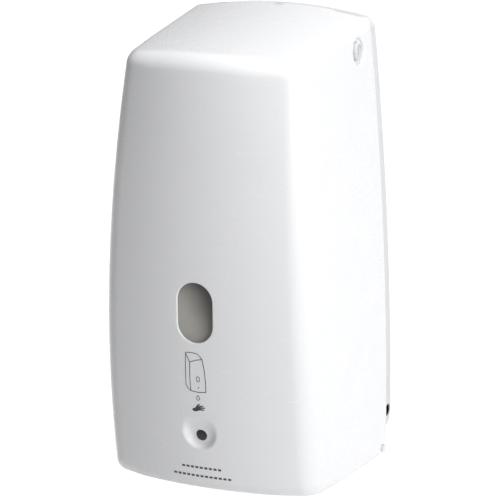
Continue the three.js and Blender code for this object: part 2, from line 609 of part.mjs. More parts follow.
// the hose drops from the seat, runs round the far side of the rollers and drops to the nozzle
const pumpHose = () => {
  const { x, z, hoseLoop, hose, bore } = PUMP;
  const bend = 8;
  const y = OUTLET.y;
  const path = new THREE.CurvePath();
  const at = (px, pz) => new THREE.Vector3(px, y, pz);
  const arc = (cx, cz, radius, from, to) => {
    const points = [];
    const steps = 12;
    for (let i = 0; i <= steps; i++) {
      const angle = from + (to - from) * i / steps;
      points.push(at(cx + Math.cos(angle) * radius, cz + Math.sin(angle) * radius));
    }
    return new THREE.CatmullRomCurve3(points);
  };
  const highZ = z + hoseLoop;
  const lowZ = z - hoseLoop;
  const bendX = OUTLET.x - bend;
  path.add(new THREE.LineCurve3(at(OUTLET.x, 71), at(OUTLET.x, highZ + bend)));
  path.add(arc(bendX, highZ + bend, bend, 0, -TAU / 4));
  path.add(new THREE.LineCurve3(at(bendX, highZ), at(x, highZ)));
  path.add(arc(x, z, hoseLoop, TAU / 4, TAU * 3 / 4));
  path.add(new THREE.LineCurve3(at(x, lowZ), at(bendX, lowZ)));
  path.add(arc(bendX, lowZ - bend, bend, TAU / 4, 0));
  path.add(new THREE.LineCurve3(at(OUTLET.x, lowZ - bend), at(OUTLET.x, 17)));
  const ring = (radius) => {
    const shape = new THREE.Shape();
    const sides = 7;
    const corners = [];
    for (let i = 0; i < sides; i++) {
      const angle = TAU * i / sides;
      corners.push(new THREE.Vector2(Math.cos(angle) * radius, Math.sin(angle) * radius));
    }
    return shape.setFromPoints(corners);
  };
  const section = ring(hose);
  section.holes.push(new THREE.Path().setFromPoints(ring(bore).getPoints().reverse()));
  return new THREE.ExtrudeGeometry(section, { extrudePath: path, steps: 27, bevelEnabled: false });
};

const nozzle = () => {
  const { x, y } = OUTLET;
  const body = standing(x, y, 6, 3.4, 8, 14, 4.6);
  const flange = standing(x, y, CASE.bottom + CASE.wall + GAP, 8, 1.6, 18);
  const barb = standing(x, y, 11, 1.2, 9, 10);
  return cut(join(body, flange, barb), standing(x, y, 0, 0.8, 30, 8));
};

const nozzleTip = () => {
  const { x, y } = OUTLET;
  const body = standing(x, y, 2.4, 3, 3.2, 14, 4.4);
  return cut(body, standing(x, y, 0, 0.8, 10, 8));
};

// ---------------------------------------------------------------- the motor and its gears

const gearShape = (teeth, turn) => {
  const pitch = teeth * GEAR_MODULE / 2;
  const tip = pitch + 0.9 * GEAR_MODULE;
  const root = pitch - 1.25 * GEAR_MODULE;
  const step = TAU / teeth;
  const points = [];
  for (let i = 0; i < teeth; i++) {
    const middle = turn + i * step;
    const corners = [[-0.3, root], [-0.11, tip], [0.11, tip], [0.3, root]];
    for (const [share, radius] of corners) {
      const angle = middle + share * step;
      points.push(new THREE.Vector2(Math.cos(angle) * radius, Math.sin(angle) * radius));
    }
  }
  return new THREE.Shape().setFromPoints(points);
};

const gear = (teeth, turn, x, z, y, width) => {
  const geometry = new THREE.ExtrudeGeometry(gearShape(teeth, turn), { depth: width, bevelEnabled: false });
  return toSolid(alongMinusY(geometry).translate(x, y, z));
};

const IDLER = { x: PUMP.x, z: PUMP.z + (TEETH.output + TEETH.small) * GEAR_MODULE / 2 + MESH_SLACK };
const MOTOR = { x: IDLER.x + (TEETH.wheel + TEETH.pinion) * GEAR_MODULE / 2 + MESH_SLACK, z: IDLER.z };

// the output gear has a tooth pointing up and the idler's small gear a gap pointing down
const outputGear = () => cut(gear(TEETH.output, TAU / 4, PUMP.x, PUMP.z, -50.4, 3.4),
  lyingY(PUMP.x, -40, PUMP.z, 1.8, 30, 12));

const idlerGear = () => {
  const small = gear(TEETH.small, -TAU / 4 + TAU / TEETH.small / 2, IDLER.x, IDLER.z, -50.4, 4.3);
  const wheel = gear(TEETH.wheel, 0, IDLER.x, IDLER.z, -54.4, 2.6);
  return cut(join(small, wheel), lyingY(IDLER.x, -40, IDLER.z, 1.3, 30, 12));
};

// the pinion, on the motor's shaft, has a gap pointing back at the idler's wheel
const motorPinion = () => join(
  gear(TEETH.pinion, TAU / 2 + TAU / TEETH.pinion / 2, MOTOR.x, MOTOR.z, -54.2, 3),
  lyingY(MOTOR.x, -46.4, MOTOR.z, 0.9, 11, 8));

const gearboxPlate = () => {
  const plate = block(-30, 11, -49, -47, 30, 74);
  const motorHole = lyingY(MOTOR.x, -40, MOTOR.z, 3.5, 20, 14);
  const idlerPin = lyingY(IDLER.x, -48, IDLER.z, 1, 9.5, 10);
  return join(cut(plate, motorHole), idlerPin);
};

const motorCan = () => {
  const can = lyingY(MOTOR.x, -24, MOTOR.z, 10, 20, 20);
  const flats = block(MOTOR.x - 12, MOTOR.x + 12, -50, -20, MOTOR.z - 7.6, MOTOR.z + 7.6);
  const nose = lyingY(MOTOR.x, -43, MOTOR.z, 3, 3.1, 12);
  return cut(join(can.intersect(flats), nose), lyingY(MOTOR.x, -40, MOTOR.z, 1.2, 10, 10));
};

// ---------------------------------------------------------------- electronics and battery bay

const controlBoard = () => {
  const board = block(-50.5, -48.9, -84, -34, 18, 72);
  const chip = block(-49, -46.6, -66, -54, 38, 50);
  const plug = block(-49, -43.5, -48, -38, 24, 34);
  const driver = block(-49, -47.2, -80, -74, 60, 66);
  const capacitor = lyingX(-49.2, -60, 64, 4, 10, 14);
  return join(board, chip, plug, driver, capacitor);
};

const switchBoard = () => {
  const board = block(-47, -29, -93.4, -91.8, 34, 70);
  const tact = block(BUTTON.x - 2.5, BUTTON.x + 2.5, -93.6, -93.3, BUTTON.z - 2.5, BUTTON.z + 2.5);
  return join(board, tact);
};

const EYE_Y = -101.6;
const EYE_Z = 38;
const sensorBoard = () => join(block(-11.5, 11.5, EYE_Y + 0.3, EYE_Y + 1.9, 28.5, 46.5),
  block(-3, 3, EYE_Y + 1.8, EYE_Y + 5, 30, 36));

const SIGHT_EYES = [['ir_emitter', 2.6], ['ir_receiver', -2.6]];
const sightEye = (x) => {
  const barrel = new THREE.CylinderGeometry(1.6, 1.6, 4, 12);
  const dome = new THREE.SphereGeometry(1.6, 12, 6);
  return join(toSolid(barrel.translate(x, EYE_Y - 2, EYE_Z)), toSolid(dome.translate(x, EYE_Y - 4, EYE_Z)));
};

const batteryBox = () => {
  const outer = block(BAY.x0, BAY.x1, -87.6, -53.8, BAY.z0, BAY.z1);
  const inner = block(BAY.x0 + 1.3, BAY.x1 - 1.3, -90, -55.2, BAY.z0 + 1.5, BAY.z1 - 1.5);
  return cut(outer, inner);
};

const batteryDoor = () => {
  const y = CASE.panelFront - GAP;
  const panel = roundedOutline(34, 45.5, 34.2, 58, 3);
  const plate = frontPlate(panel, y, 2, 3);
  const grips = [40, 44, 48].map((z) => block(25, 41, y - 2.7, y - 1.9, z - 0.8, z + 0.8));
  return join(plate, ...grips);
};

const cellPlaces = CELL.ys.flatMap((y) => CELL.xs.map((x) => [x, y]));

const batteryCell = (x, y) => {
  const can = standing(x, y, CELL.bottom, CELL.radius, CELL.length - 1.5, 16);
  const nub = standing(x, y, CELL.bottom + CELL.length - 2, 2.7, 2, 10);
  return join(can, nub);
};

// the lower contact strip, with a cone of spring wire under each cell
const springContact = () => {
  const floor = BAY.z0 + 1.5 + GAP;
  const strip = block(19.2, 49, -86.2, -56.4, floor, floor + 0.6);
  const turns = 1.5;
  const steps = 12;
  const rise = CELL.bottom - floor - 1.3;
  const section = new THREE.Shape();
  section.setFromPoints([0, 1, 2, 3].map((i) => new THREE.Vector2(Math.cos(TAU * i / 4), Math.sin(TAU * i / 4))
    .multiplyScalar(0.45)));
  const coils = cellPlaces.map(([x, y]) => {
    const points = [];
    for (let i = 0; i <= steps; i++) {
      const angle = TAU * turns * i / steps;
      const radius = 4.6 - 1.8 * i / steps;
      points.push(new THREE.Vector3(x + Math.cos(angle) * radius, y + Math.sin(angle) * radius,
        floor + 0.5 + rise * i / steps));
    }
    const path = new THREE.CatmullRomCurve3(points);
    return toSolid(new THREE.ExtrudeGeometry(section, { extrudePath: path, steps, bevelEnabled: false }));
  });
  return join(strip, ...coils);
};

const contactPlate = () => block(19, 49.2, -86.4, -56.2, CELL.bottom + CELL.length + 1, CELL.bottom + CELL.length + 1.6);

// ---------------------------------------------------------------- materials and assembly

const finish = (color, roughness, metalness = 0) => ({ color, roughness, metalness });
const LOOK = {
  gloss: finish(0xf2f3f5, 0.28),
  plate: finish(0xe6e7ea, 0.45),
  inner: finish(0xd7d9dc, 0.55),
  tank: finish(0xe9efee, 0.35),
  pane: finish(0x8d8a83, 0.25),
  dark: finish(0x18181a, 0.3),
  rubber: finish(0x2b2b2d, 0.8),
  silicone: finish(0xe4dccb, 0.6),
  steel: finish(0xa9abad, 0.35, 1),
  brass: finish(0xc2a25a, 0.4, 1),
  acetal: finish(0xf0eee6, 0.5),
  board: finish(0x1f6b3c, 0.5),
  cell: finish(0x2f4f8a, 0.4, 0.3),
};

const dispenser = new THREE.Group();
const place = (name, solid, look) => {
  const geometry = solid.isBufferGeometry ? solid : toGeometry(solid);
  const mesh = new THREE.Mesh(geometry, new THREE.MeshStandardMaterial(LOOK[look]));
  mesh.name = name;
  dispenser.add(mesh);
};

place('back_plate', backPlate(), 'plate');
place('lock_keeper', lockKeeper(), 'plate');
place('dc_jack', jackBody(), 'dark');
place('hinge_pin_left', hingePin(-1), 'acetal');
place('hinge_pin_right', hingePin(1), 'acetal');

place('front_cover', frontCover(), 'gloss');
place('sight_window', sightWindow(), 'pane');
place('sensor_lens', sensorLens(), 'dark');
place('lens_retainer', lensRetainer(), 'inner');
place('lock_sleeve', lockSleeve(), 'gloss');
place('lock_nut', lockNut(), 'steel');
place('lock_barrel', lockBarrel(), 'gloss');
place('lock_cam', lockCam(), 'steel');

place('soap_tank', soapTank(), 'tank');
place('tank_cap', tankCap(), 'inner');
place('tank_cap_seal', capSeal(), 'silicone');
place('outlet_valve', outletValve(), 'acetal');
place('outlet_seal', outletSeal(), 'rubber');
place('tank_seat', tankSeat(), 'acetal');

place('drive_case', driveCase(), 'inner');
place('drive_panel', drivePanel(), 'inner');
CASE_POSTS.forEach(([x, z], i) => place(`case_screw_${i + 1}`, caseScrew(x, CASE.back - CASE.wall - GAP, z), 'steel'));
PANEL_SCREWS.forEach(([x, z], i) => place(`panel_screw_${i + 1}`, panelScrew(x, z), 'steel'));
place('switch_knob', switchKnob(), 'dark');
place('dose_button', doseButton(), 'rubber');

place('pump_housing', pumpHousing(), 'acetal');
place('pump_cover', pumpCover(), 'acetal');
place('pump_rotor', pumpRotor(), 'acetal');
place('rotor_cap', rotorCap(), 'acetal');
rollerPlaces.forEach((spot, i) => place(`pump_roller_${i + 1}`, pumpRoller(spot), 'steel'));
place('rotor_shaft', rotorShaft(), 'steel');
place('pump_hose', pumpHose(), 'silicone');
place('nozzle', nozzle(), 'acetal');
place('nozzle_tip', nozzleTip(), 'silicone');

place('output_gear', outputGear(), 'acetal');
place('idler_gear', idlerGear(), 'acetal');
place('motor_pinion', motorPinion(), 'brass');
place('gearbox_plate', gearboxPlate(), 'steel');
place('motor_can', motorCan(), 'steel');

place('control_board', controlBoard(), 'board');
place('switch_board', switchBoard(), 'board');
place('sensor_board', sensorBoard(), 'board');
SIGHT_EYES.forEach(([name, x]) => place(name, sightEye(x), 'dark'));

place('battery_box', batteryBox(), 'dark');
place('battery_door', batteryDoor(), 'inner');
place('contact_plate', contactPlate(), 'steel');
cellPlaces.forEach(([x, y], i) => place(`battery_cell_${i + 1}`, batteryCell(x, y), 'cell'));
place('spring_contact', springContact(), 'steel');

dispenser.position.z = -HEIGHT / 2;

export default dispenser;
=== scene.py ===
"""A wall mounted soap dispenser with a hinged cover, a level window and a hand sensor.

Shapes are worked out in millimetres, with heights counted from the cover's bottom edge, and are
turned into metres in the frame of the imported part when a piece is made.
"""

import json
import math

import bmesh
import bpy
import numpy as np
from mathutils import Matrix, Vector
from mathutils.geometry import delaunay_2d_cdt


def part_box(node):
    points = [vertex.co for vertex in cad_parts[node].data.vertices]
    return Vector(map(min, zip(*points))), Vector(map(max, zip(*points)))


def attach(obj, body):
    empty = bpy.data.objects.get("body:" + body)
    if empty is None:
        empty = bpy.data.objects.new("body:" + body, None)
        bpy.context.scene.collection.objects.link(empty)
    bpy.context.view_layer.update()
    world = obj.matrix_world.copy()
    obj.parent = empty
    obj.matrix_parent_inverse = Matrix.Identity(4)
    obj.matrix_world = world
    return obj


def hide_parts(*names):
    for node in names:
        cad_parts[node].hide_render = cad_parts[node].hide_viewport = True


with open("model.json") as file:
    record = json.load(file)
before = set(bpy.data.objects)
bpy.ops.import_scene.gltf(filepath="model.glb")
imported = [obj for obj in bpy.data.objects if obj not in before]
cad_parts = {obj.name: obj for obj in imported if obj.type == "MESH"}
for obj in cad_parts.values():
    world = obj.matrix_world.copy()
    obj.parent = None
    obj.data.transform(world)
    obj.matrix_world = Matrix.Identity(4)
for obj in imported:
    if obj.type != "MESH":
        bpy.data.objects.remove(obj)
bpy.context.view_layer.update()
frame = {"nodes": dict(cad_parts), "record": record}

bl_info = {
    "name": "Wall Soap Dispenser",
    "version": (1, 0, 0),
    "blender": (4, 5, 0),
    "location": "View3D > Sidebar > Dispenser",
    "description": "Builds the looks of a sensor soap dispenser around its packed frame",
    "category": "Add Mesh",
}

MM = 0.001
TAU = math.tau


def node_box_mm(node):
    """A node's lowest and highest corner in millimetres, heights from the cover's bottom edge."""
    low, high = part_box(node)
    lift = np.array([0, 0, COVER_BOTTOM])
    return np.array(low) / MM - lift, np.array(high) / MM - lift


COVER_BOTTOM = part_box("front_cover")[0].z / MM
COVER_LOW, COVER_HIGH = node_box_mm("front_cover")


# ------------------------------------------------------------------ sizes and colours


def length(name, default_mm, description, low_mm=0.05, high_mm=400.0):
    return bpy.props.FloatProperty(
        name=name,
        description=description,
        default=default_mm * MM,
        min=low_mm * MM,
        max=high_mm * MM,
        unit="LENGTH",
        precision=5,
    )


def colour(name, default, description):
    return bpy.props.FloatVectorProperty(
        name=name,
        description=description,
        default=default,
        size=3,
        min=0.0,
        max=1.0,
        subtype="COLOR",
    )


class DispenserSizes(bpy.types.PropertyGroup):
    """Sizes that give the dispenser its look."""

    wall: length("Cover wall", 2.5, "How thick the cover's wall is")
    roof_edge: length("Roof edge", 4.2, "Radius of the rounded edge round the roof")
    bottom_edge: length("Bottom edge", 3.0, "Radius of the rounded bottom edge")
    window_rim: length("Window rim", 0.6, "Radius of the rounded rim of the level window")
    scoop_depth: length("Scoop depth", 2.8, "How far the sensor's scoop goes in")
    lock_rim: length("Lock rim", 1.2, "Radius of the rounded rim of the lock's recess")
    print_width: length("Print width", 0.42, "Width of a printed line")
    plate_edge: length("Plate edge", 0.7, "Radius of the back plate's edges")


class DispenserColours(bpy.types.PropertyGroup):
    """Colours of the dispenser's finishes."""

    cover: colour("Cover", (0.80, 0.805, 0.82), "Glossy white of the cover")
    plate: colour("Back plate", (0.62, 0.63, 0.645), "Light grey of the back plate")
    inner: colour("Inner plastic", (0.62, 0.63, 0.64), "Light grey of the drive case")
    tank: colour("Tank", (0.78, 0.83, 0.82), "Translucent white of the tank")
    pane: colour("Window pane", (0.37, 0.36, 0.335), "Smoke grey of the level window")
    ink: colour("Ink", (0.035, 0.035, 0.038), "Grey-black of the printed marks")
    dark: colour("Dark plastic", (0.008, 0.008, 0.009), "Black of the lens and the socket")
    rubber: colour("Rubber", (0.03, 0.03, 0.032), "Black rubber")
    silicone: colour("Silicone", (0.72, 0.66, 0.55), "Milky hose and seals")
    steel: colour("Steel", (0.60, 0.61, 0.62), "Bright plated steel")
    brass: colour("Brass", (0.72, 0.53, 0.24), "Machined brass")
    acetal: colour("Acetal", (0.80, 0.78, 0.72), "Natural acetal of the pump")
    board: colour("Circuit board", (0.02, 0.13, 0.05), "Green solder mask")
    cell: colour("Battery cell", (0.05, 0.11, 0.30), "Printed sleeve of a cell")
    floor: colour("Floor", (0.93, 0.93, 0.93), "Pale studio floor")


def sizes():
    return bpy.context.scene.dispenser_sizes


def colours():
    return bpy.context.scene.dispenser_colours


# ------------------------------------------------------------------ shader expressions


class Wire:
    """A shader value that can be written in sums: each operator adds a Math node."""

    def __init__(self, paint, socket):
        self.paint = paint
        self.socket = socket

    def math(self, operation, *values):
        settings = {"operation": operation}
        inputs = {i: value for i, value in enumerate((self, *values))}
        return self.paint.node("ShaderNodeMath", settings, inputs)

    def __add__(self, other):
        return self.math("ADD", other)

    __radd__ = __add__

    def __mul__(self, other):
        return self.math("MULTIPLY", other)

    __rmul__ = __mul__

    def __sub__(self, other):
        return self.math("SUBTRACT", other)

    def __rsub__(self, other):
        return self.paint.node("ShaderNodeMath", {"operation": "SUBTRACT"}, {0: other, 1: self})

    def __truediv__(self, other):
        return self.math("DIVIDE", other)

    def step_from(self, low, high):
        """0 below low, 1 above high, smooth in between."""
        settings = {"interpolation_type": "SMOOTHSTEP"}
        inputs = {"Value": self, "From Min": low, "From Max": high}
        return self.paint.node("ShaderNodeMapRange", settings, inputs)


class Paint:
    """The nodes of one material or world, built around one shader."""

    def __init__(self, owner, shader):
        self.owner = owner
        self.tree = owner.node_tree
        self.shader = self.tree.nodes[shader]

    @classmethod
    def new_material(cls, name):
        material = bpy.data.materials.new(name)
        material.use_nodes = True
        return cls(material, "Principled BSDF")

    def node(self, kind, settings=None, inputs=None, output=0):
        made = self.tree.nodes.new(kind)
        for key, value in (settings or {}).items():
            if key == "stops":
                self.set_stops(made.color_ramp, value)
            else:
                setattr(made, key, value)
        for key, value in (inputs or {}).items():
            self.feed(made.inputs[key], value)
        return Wire(self, made.outputs[output])

    @staticmethod
    def set_stops(ramp, stops):
        while len(ramp.elements) < len(stops):
            ramp.elements.new(0.5)
        for element, (place, shade) in zip(ramp.elements, stops):
            element.position = place
            element.color = (*shade, 1.0)

    def feed(self, socket, value):
        if isinstance(value, Wire):
            self.tree.links.new(value.socket, socket)
        elif socket.type == "RGBA" and len(value) == 3:
            socket.default_value = (*value, 1.0)
        else:
            socket.default_value = value

    def set(self, **inputs):
        """Feeds the shader; Base_Color stands for Base Color."""
        for key, value in inputs.items():
            self.feed(self.shader.inputs[key.replace("_", " ")], value)
        return self

    def place(self):
        return self.node("ShaderNodeTexCoord", output="Object")

    def stretched(self, across, along, up):
        inputs = {"Vector": self.place(), "Scale": (across, along, up)}
        return self.node("ShaderNodeMapping", {}, inputs)

    def noise(self, scale, detail=3.0, roughness=0.55, vector=None):
        inputs = {
            "Vector": vector or self.place(),
            "Scale": scale,
            "Detail": detail,
            "Roughness": roughness,
        }
        return self.node("ShaderNodeTexNoise", {}, inputs)

    def mix(self, factor, first, second):
        settings = {"data_type": "RGBA"}
        inputs = {"Factor": factor, 6: first, 7: second}
        return self.node("ShaderNodeMix", settings, inputs, output=2)

    def axis(self, name):
        return self.node("ShaderNodeSeparateXYZ", {}, {0: self.place()}, output=name)

    def bump(self, height, strength, distance_mm):
        inputs = {"Height": height, "Strength": strength, "Distance": distance_mm * MM}
        return self.node("ShaderNodeBump", {}, inputs)


def scaled(shade, amount):
    return tuple(min(1.0, channel * amount) for channel in shade)


def moulded(name, shade, gloss, grain_mm, grain_depth, coat=0.0, drift=0.04, wear=1.0):
    """Injection moulded plastic: slight drift of tone, fine grain and a few soft scuffs."""
    paint = Paint.new_material(name)
    cloud = paint.noise(14.0, 2.0)
    grain = paint.noise(1.0 / (grain_mm * MM), 2.0)
    scuffs = paint.noise(90.0, 5.0, 0.7, paint.stretched(1.0, 1.0, 3.5)).step_from(0.60, 0.72)
    tone = paint.mix(cloud, scaled(shade, 1.0 - drift), scaled(shade, 1.0 + drift))
    tone = paint.mix(scuffs * (0.12 * wear), tone, scaled(shade, 0.93))
    rough = gloss + (grain - 0.5) * 0.05 + scuffs * (0.05 * wear) + (cloud - 0.5) * 0.04
    paint.set(Base_Color=tone, Roughness=rough, Coat_Weight=coat, Coat_Roughness=0.08)
    paint.set(Normal=paint.bump(grain, 0.35, grain_depth))
    return paint.owner


def rubbery(name, shade, rough):
    paint = Paint.new_material(name)
    cloud = paint.noise(60.0, 3.0)
    grain = paint.noise(2600.0, 2.0)
    dust = paint.noise(240.0, 4.0, 0.7).step_from(0.55, 0.75)
    tone = paint.mix(cloud, scaled(shade, 0.85), scaled(shade, 1.15))
    tone = paint.mix(dust * 0.12, tone, scaled(shade, 1.8))
    paint.set(Base_Color=tone, Roughness=rough + (grain - 0.5) * 0.1)
    paint.set(Normal=paint.bump(grain, 0.4, 0.05))
    return paint.owner


def metallic(name, shade, rough, brushed=(1.0, 1.0, 1.0)):
    """Plated or machined metal, with fine lines drawn along the long axis of `brushed`."""
    paint = Paint.new_material(name)
    lines = paint.noise(700.0, 4.0, 0.6, paint.stretched(*brushed))
    cloud = paint.noise(45.0, 3.0)
    stain = paint.noise(130.0, 5.0, 0.65).step_from(0.58, 0.74)
    tone = paint.mix(cloud, scaled(shade, 0.88), scaled(shade, 1.08))
    tone = paint.mix(stain * 0.35, tone, scaled(shade, 0.72))
    paint.set(Base_Color=tone, Metallic=1.0)
    paint.set(Roughness=rough + (lines - 0.5) * 0.18 + stain * 0.1)
    paint.set(Normal=paint.bump(lines, 0.25, 0.02))
    return paint.owner


FINISHES = {}


def finish(name):
    """The material of that name, made once."""
    if name not in FINISHES:
        FINISHES[name] = FINISH_MAKERS[name]()
    return FINISHES[name]


def cover_gloss():
    shade = colours().cover
    return moulded("Cover gloss white", shade, 0.27, 0.5, 0.004, coat=0.45, drift=0.01, wear=0.3)


def plate_white():
    return moulded("Back plate white", colours().plate, 0.42, 0.35, 0.02)


def inner_grain():
    return moulded("Inner grey grain", colours().inner, 0.48, 0.4, 0.035)


def acetal_plain():
    return moulded("Natural acetal", colours().acetal, 0.4, 0.6, 0.01)


def dark_gloss():
    return moulded("Dark gloss plastic", colours().dark, 0.2, 0.5, 0.006, coat=0.2, drift=0.2)


def pane_smoke():
    """Smoke-grey pane with painted light and shade: lighter towards the lower left, darker towards
    the upper right as a painted shadow of the cover's wall.
    """
    paint = Paint.new_material("Window smoke")
    low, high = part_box("sight_window")
    middle = (low + high) / 2
    side = (paint.axis("X") - middle.x) / (high.x - low.x)
    height = (paint.axis("Z") - middle.z) / (high.z - low.z)
    shade = colours().pane
    # painted light and shade: a darker and a lighter copy of the smoke grey, blended by place, so
    # that the upper right reads as shaded by the cover's wall
    painted_light_share = (side * -1.1 + height * -0.9 + paint.noise(60.0, 2.0) * 0.25 + 0.38).step_from(0.0, 1.0)
    tone = paint.mix(painted_light_share, scaled(shade, 0.36), scaled(shade, 1.08))
    streaks = paint.noise(300.0, 3.0, 0.6, paint.stretched(1.0, 1.0, 0.2))
    paint.set(Base_Color=tone, Roughness=0.34 + (streaks - 0.5) * 0.1)
    paint.set(Normal=paint.bump(streaks, 0.2, 0.02))
    return paint.owner


def tank_milky():
    """Blow-moulded translucent plastic with a faint mould texture."""
    paint = Paint.new_material("Tank milky")
    shade = colours().tank
    cloud = paint.noise(30.0, 3.0)
    grain = paint.noise(900.0, 3.0)
    fill = (paint.axis("Z") - 0.01).step_from(-0.012, 0.012)
    tone = paint.mix(cloud, scaled(shade, 0.94), scaled(shade, 1.04))
    tone = paint.mix((1.0 - fill) * 0.55, tone, (0.55, 0.66, 0.66))
    paint.set(Base_Color=tone, Roughness=0.36 + (grain - 0.5) * 0.12, Transmission_Weight=0.25)
    paint.set(Subsurface_Weight=0.2, Subsurface_Radius=(0.004, 0.004, 0.004), IOR=1.49)
    paint.set(Normal=paint.bump(grain, 0.25, 0.05))
    return paint.owner


def silicone_milky():
    paint = Paint.new_material("Silicone milky")
    shade = colours().silicone
    cloud = paint.noise(80.0, 3.0)
    grain = paint.noise(2200.0, 2.0)
    tone = paint.mix(cloud, scaled(shade, 0.9), scaled(shade, 1.08))
    paint.set(Base_Color=tone, Roughness=0.42 + (grain - 0.5) * 0.1, Subsurface_Weight=0.3)
    paint.set(Subsurface_Radius=(0.002, 0.0015, 0.001))
    paint.set(Normal=paint.bump(grain, 0.2, 0.03))
    return paint.owner


def lens_black():
    """Filter plastic: black, clouded with a faint dark red depth."""
    paint = Paint.new_material("Lens black")
    shade = colours().dark
    cloud = paint.noise(400.0, 2.0)
    tone = paint.mix(cloud, scaled(shade, 0.8), (0.016, 0.009, 0.010))
    paint.set(Base_Color=tone, Roughness=0.11 + (cloud - 0.5) * 0.04)
    paint.set(Coat_Weight=0.5, Coat_Roughness=0.05)
    return paint.owner


def ink_print():
    paint = Paint.new_material("Print ink")
    shade = colours().ink
    speck = paint.noise(4200.0, 2.0)
    tone = paint.mix(speck, scaled(shade, 0.7), scaled(shade, 2.4))
    paint.set(Base_Color=tone, Roughness=0.5 + (speck - 0.5) * 0.2)
    return paint.owner


def board_green():
    """Solder mask with copper tracks under it and bare pads."""
    paint = Paint.new_material("Circuit board green")
    shade = colours().board
    cells = paint.node(
        "ShaderNodeTexVoronoi",
        {"distance": "CHEBYCHEV", "feature": "F1"},
        {"Vector": paint.place(), "Scale": 420.0},
        output="Distance",
    )
    tracks = cells.step_from(0.32, 0.36)
    pads = 1.0 - cells.step_from(0.10, 0.13)
    cloud = paint.noise(50.0, 2.0)
    tone = paint.mix(cloud, scaled(shade, 0.8), scaled(shade, 1.2))
    tone = paint.mix(tracks * 0.6, tone, scaled(shade, 1.9))
    tone = paint.mix(pads, tone, (0.55, 0.55, 0.52))
    paint.set(Base_Color=tone, Roughness=0.38 + (cloud - 0.5) * 0.1, Metallic=pads * 0.8)
    paint.set(Normal=paint.bump(tracks + pads, 0.3, 0.03))
    return paint.owner


def cell_sleeve():
    """A cell's sleeve: coloured below, bare steel at its shoulder, a pale band between."""
    paint = Paint.new_material("Cell sleeve")
    shade = colours().cell
    low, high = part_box("battery_cell_1")
    share = (paint.axis("Z") - low.z) / (high.z - low.z)
    shoulder = share.step_from(0.925, 0.93)
    band = share.step_from(0.66, 0.664) * (1.0 - share.step_from(0.70, 0.704))
    scuffs = paint.noise(300.0, 4.0).step_from(0.6, 0.75)
    tone = paint.mix(paint.noise(50.0), scaled(shade, 0.85), scaled(shade, 1.15))
    tone = paint.mix(band, tone, (0.75, 0.76, 0.78))
    tone = paint.mix(shoulder, tone, colours().steel)
    paint.set(Base_Color=tone, Metallic=shoulder, Roughness=0.28 + scuffs * 0.15)
    return paint.owner


FINISH_MAKERS = {
    "cover_gloss": cover_gloss,
    "plate_white": plate_white,
    "inner_plastic": inner_grain,
    "tank_plastic": tank_milky,
    "window_pane": pane_smoke,
    "dark_plastic": dark_gloss,
    "lens": lens_black,
    "ink": ink_print,
    "black_rubber": lambda: rubbery("Black rubber", colours().rubber, 0.72),
    "silicone": silicone_milky,
    "steel": lambda: metallic("Plated steel", colours().steel, 0.3, (1.0, 1.0, 0.12)),
    "brass": lambda: metallic("Machined brass", colours().brass, 0.32, (1.0, 0.12, 1.0)),
    "acetal": acetal_plain,
    "circuit_board": board_green,
    "cell_sleeve": cell_sleeve,
}


# ------------------------------------------------------------------ shells


class Shell:
    """Corners in millimetres and the faces between them."""

    def __init__(self):
        self.points = []
        self.faces = []

    def corners(self, points):
        start = len(self.points)
        self.points.extend(tuple(float(c) for c in p) for p in points)
        return list(range(start, len(self.points)))

    def strip(self, first, second, closed=True):
        """Quads between two rows of equal length."""
        count = len(first)
        for i in range(count if closed else count - 1):
            j = (i + 1) % count
            self.faces.append((first[i], first[j], second[j], second[i]))

    def fan(self, row, flip=False):
        self.faces.append(tuple(reversed(row)) if flip else tuple(row))

    def rows(self, rows, closed=True):
        made = [self.corners(row) for row in rows]
        for first, second in zip(made, made[1:]):
            self.strip(first, second, closed)
        return made


EVEN_FACES = "Even faces"
WELD_DISTANCE = 0.002 * MM
HARD_ANGLE = math.radians(38)


def linked(name, data):
    """A new object in the scene."""
    made = bpy.data.objects.new(name, data)
    bpy.context.scene.collection.objects.link(made)
    return made


def mesh_of(shell, name):
    mesh = bpy.data.meshes.new(name)
    points = np.array(shell.points) + np.array([0.0, 0.0, COVER_BOTTOM])
    mesh.from_pydata((points * MM).tolist(), [], shell.faces)
    return mesh


def as_piece(shell, name, body, slot, look, replaced=(), even=True):
    """Turns a shell into an object that rides on a body and stands for the CAD nodes."""
    mesh = mesh_of(shell, name)
    mesh.validate()
    tidy(mesh)
    mesh.materials.append(finish(look))
    made = linked(name, mesh)
    if even:
        modifier = made.modifiers.new(EVEN_FACES, "WEIGHTED_NORMAL")
        modifier.keep_sharp = True
        modifier.weight = 100
    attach(made, body)
    if replaced:
        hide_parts(*replaced)
    return made


def wall_piece(shell, name, finish_name, replaced=()):
    """A piece of the wall unit with the finish of that name."""
    return as_piece(shell, name, "wall_unit", finish_name, finish_name, replaced)


def inner_piece(shell, name, replaced=()):
    return wall_piece(shell, name, "inner_plastic", replaced)


def tidy(mesh):
    """Welds doubled corners, turns faces outwards and marks hard edges."""
    work = bmesh.new()
    work.from_mesh(mesh)
    bmesh.ops.remove_doubles(work, verts=work.verts, dist=WELD_DISTANCE)
    bmesh.ops.recalc_face_normals(work, faces=work.faces)
    for face in work.faces:
        face.smooth = True
    for edge in work.edges:
        edge.smooth = len(edge.link_faces) == 2 and edge.calc_face_angle(0.0) < HARD_ANGLE
    work.to_mesh(mesh)
    work.free()


def quarter(radius, angles):
    """(in, along) steps of a rounded edge at the given angles of its quarter circle."""
    return [(radius * (1 - math.sin(a)), radius * (1 - math.cos(a))) for a in angles]


def arc(centre, radius, start, end, steps):
    """Points on an arc in a plane, angles in degrees."""
    angles = np.radians(np.linspace(start, end, steps + 1))
    spots = np.stack([np.cos(angles), np.sin(angles)], axis=1)
    return [tuple(centre + radius * spot) for spot in spots]


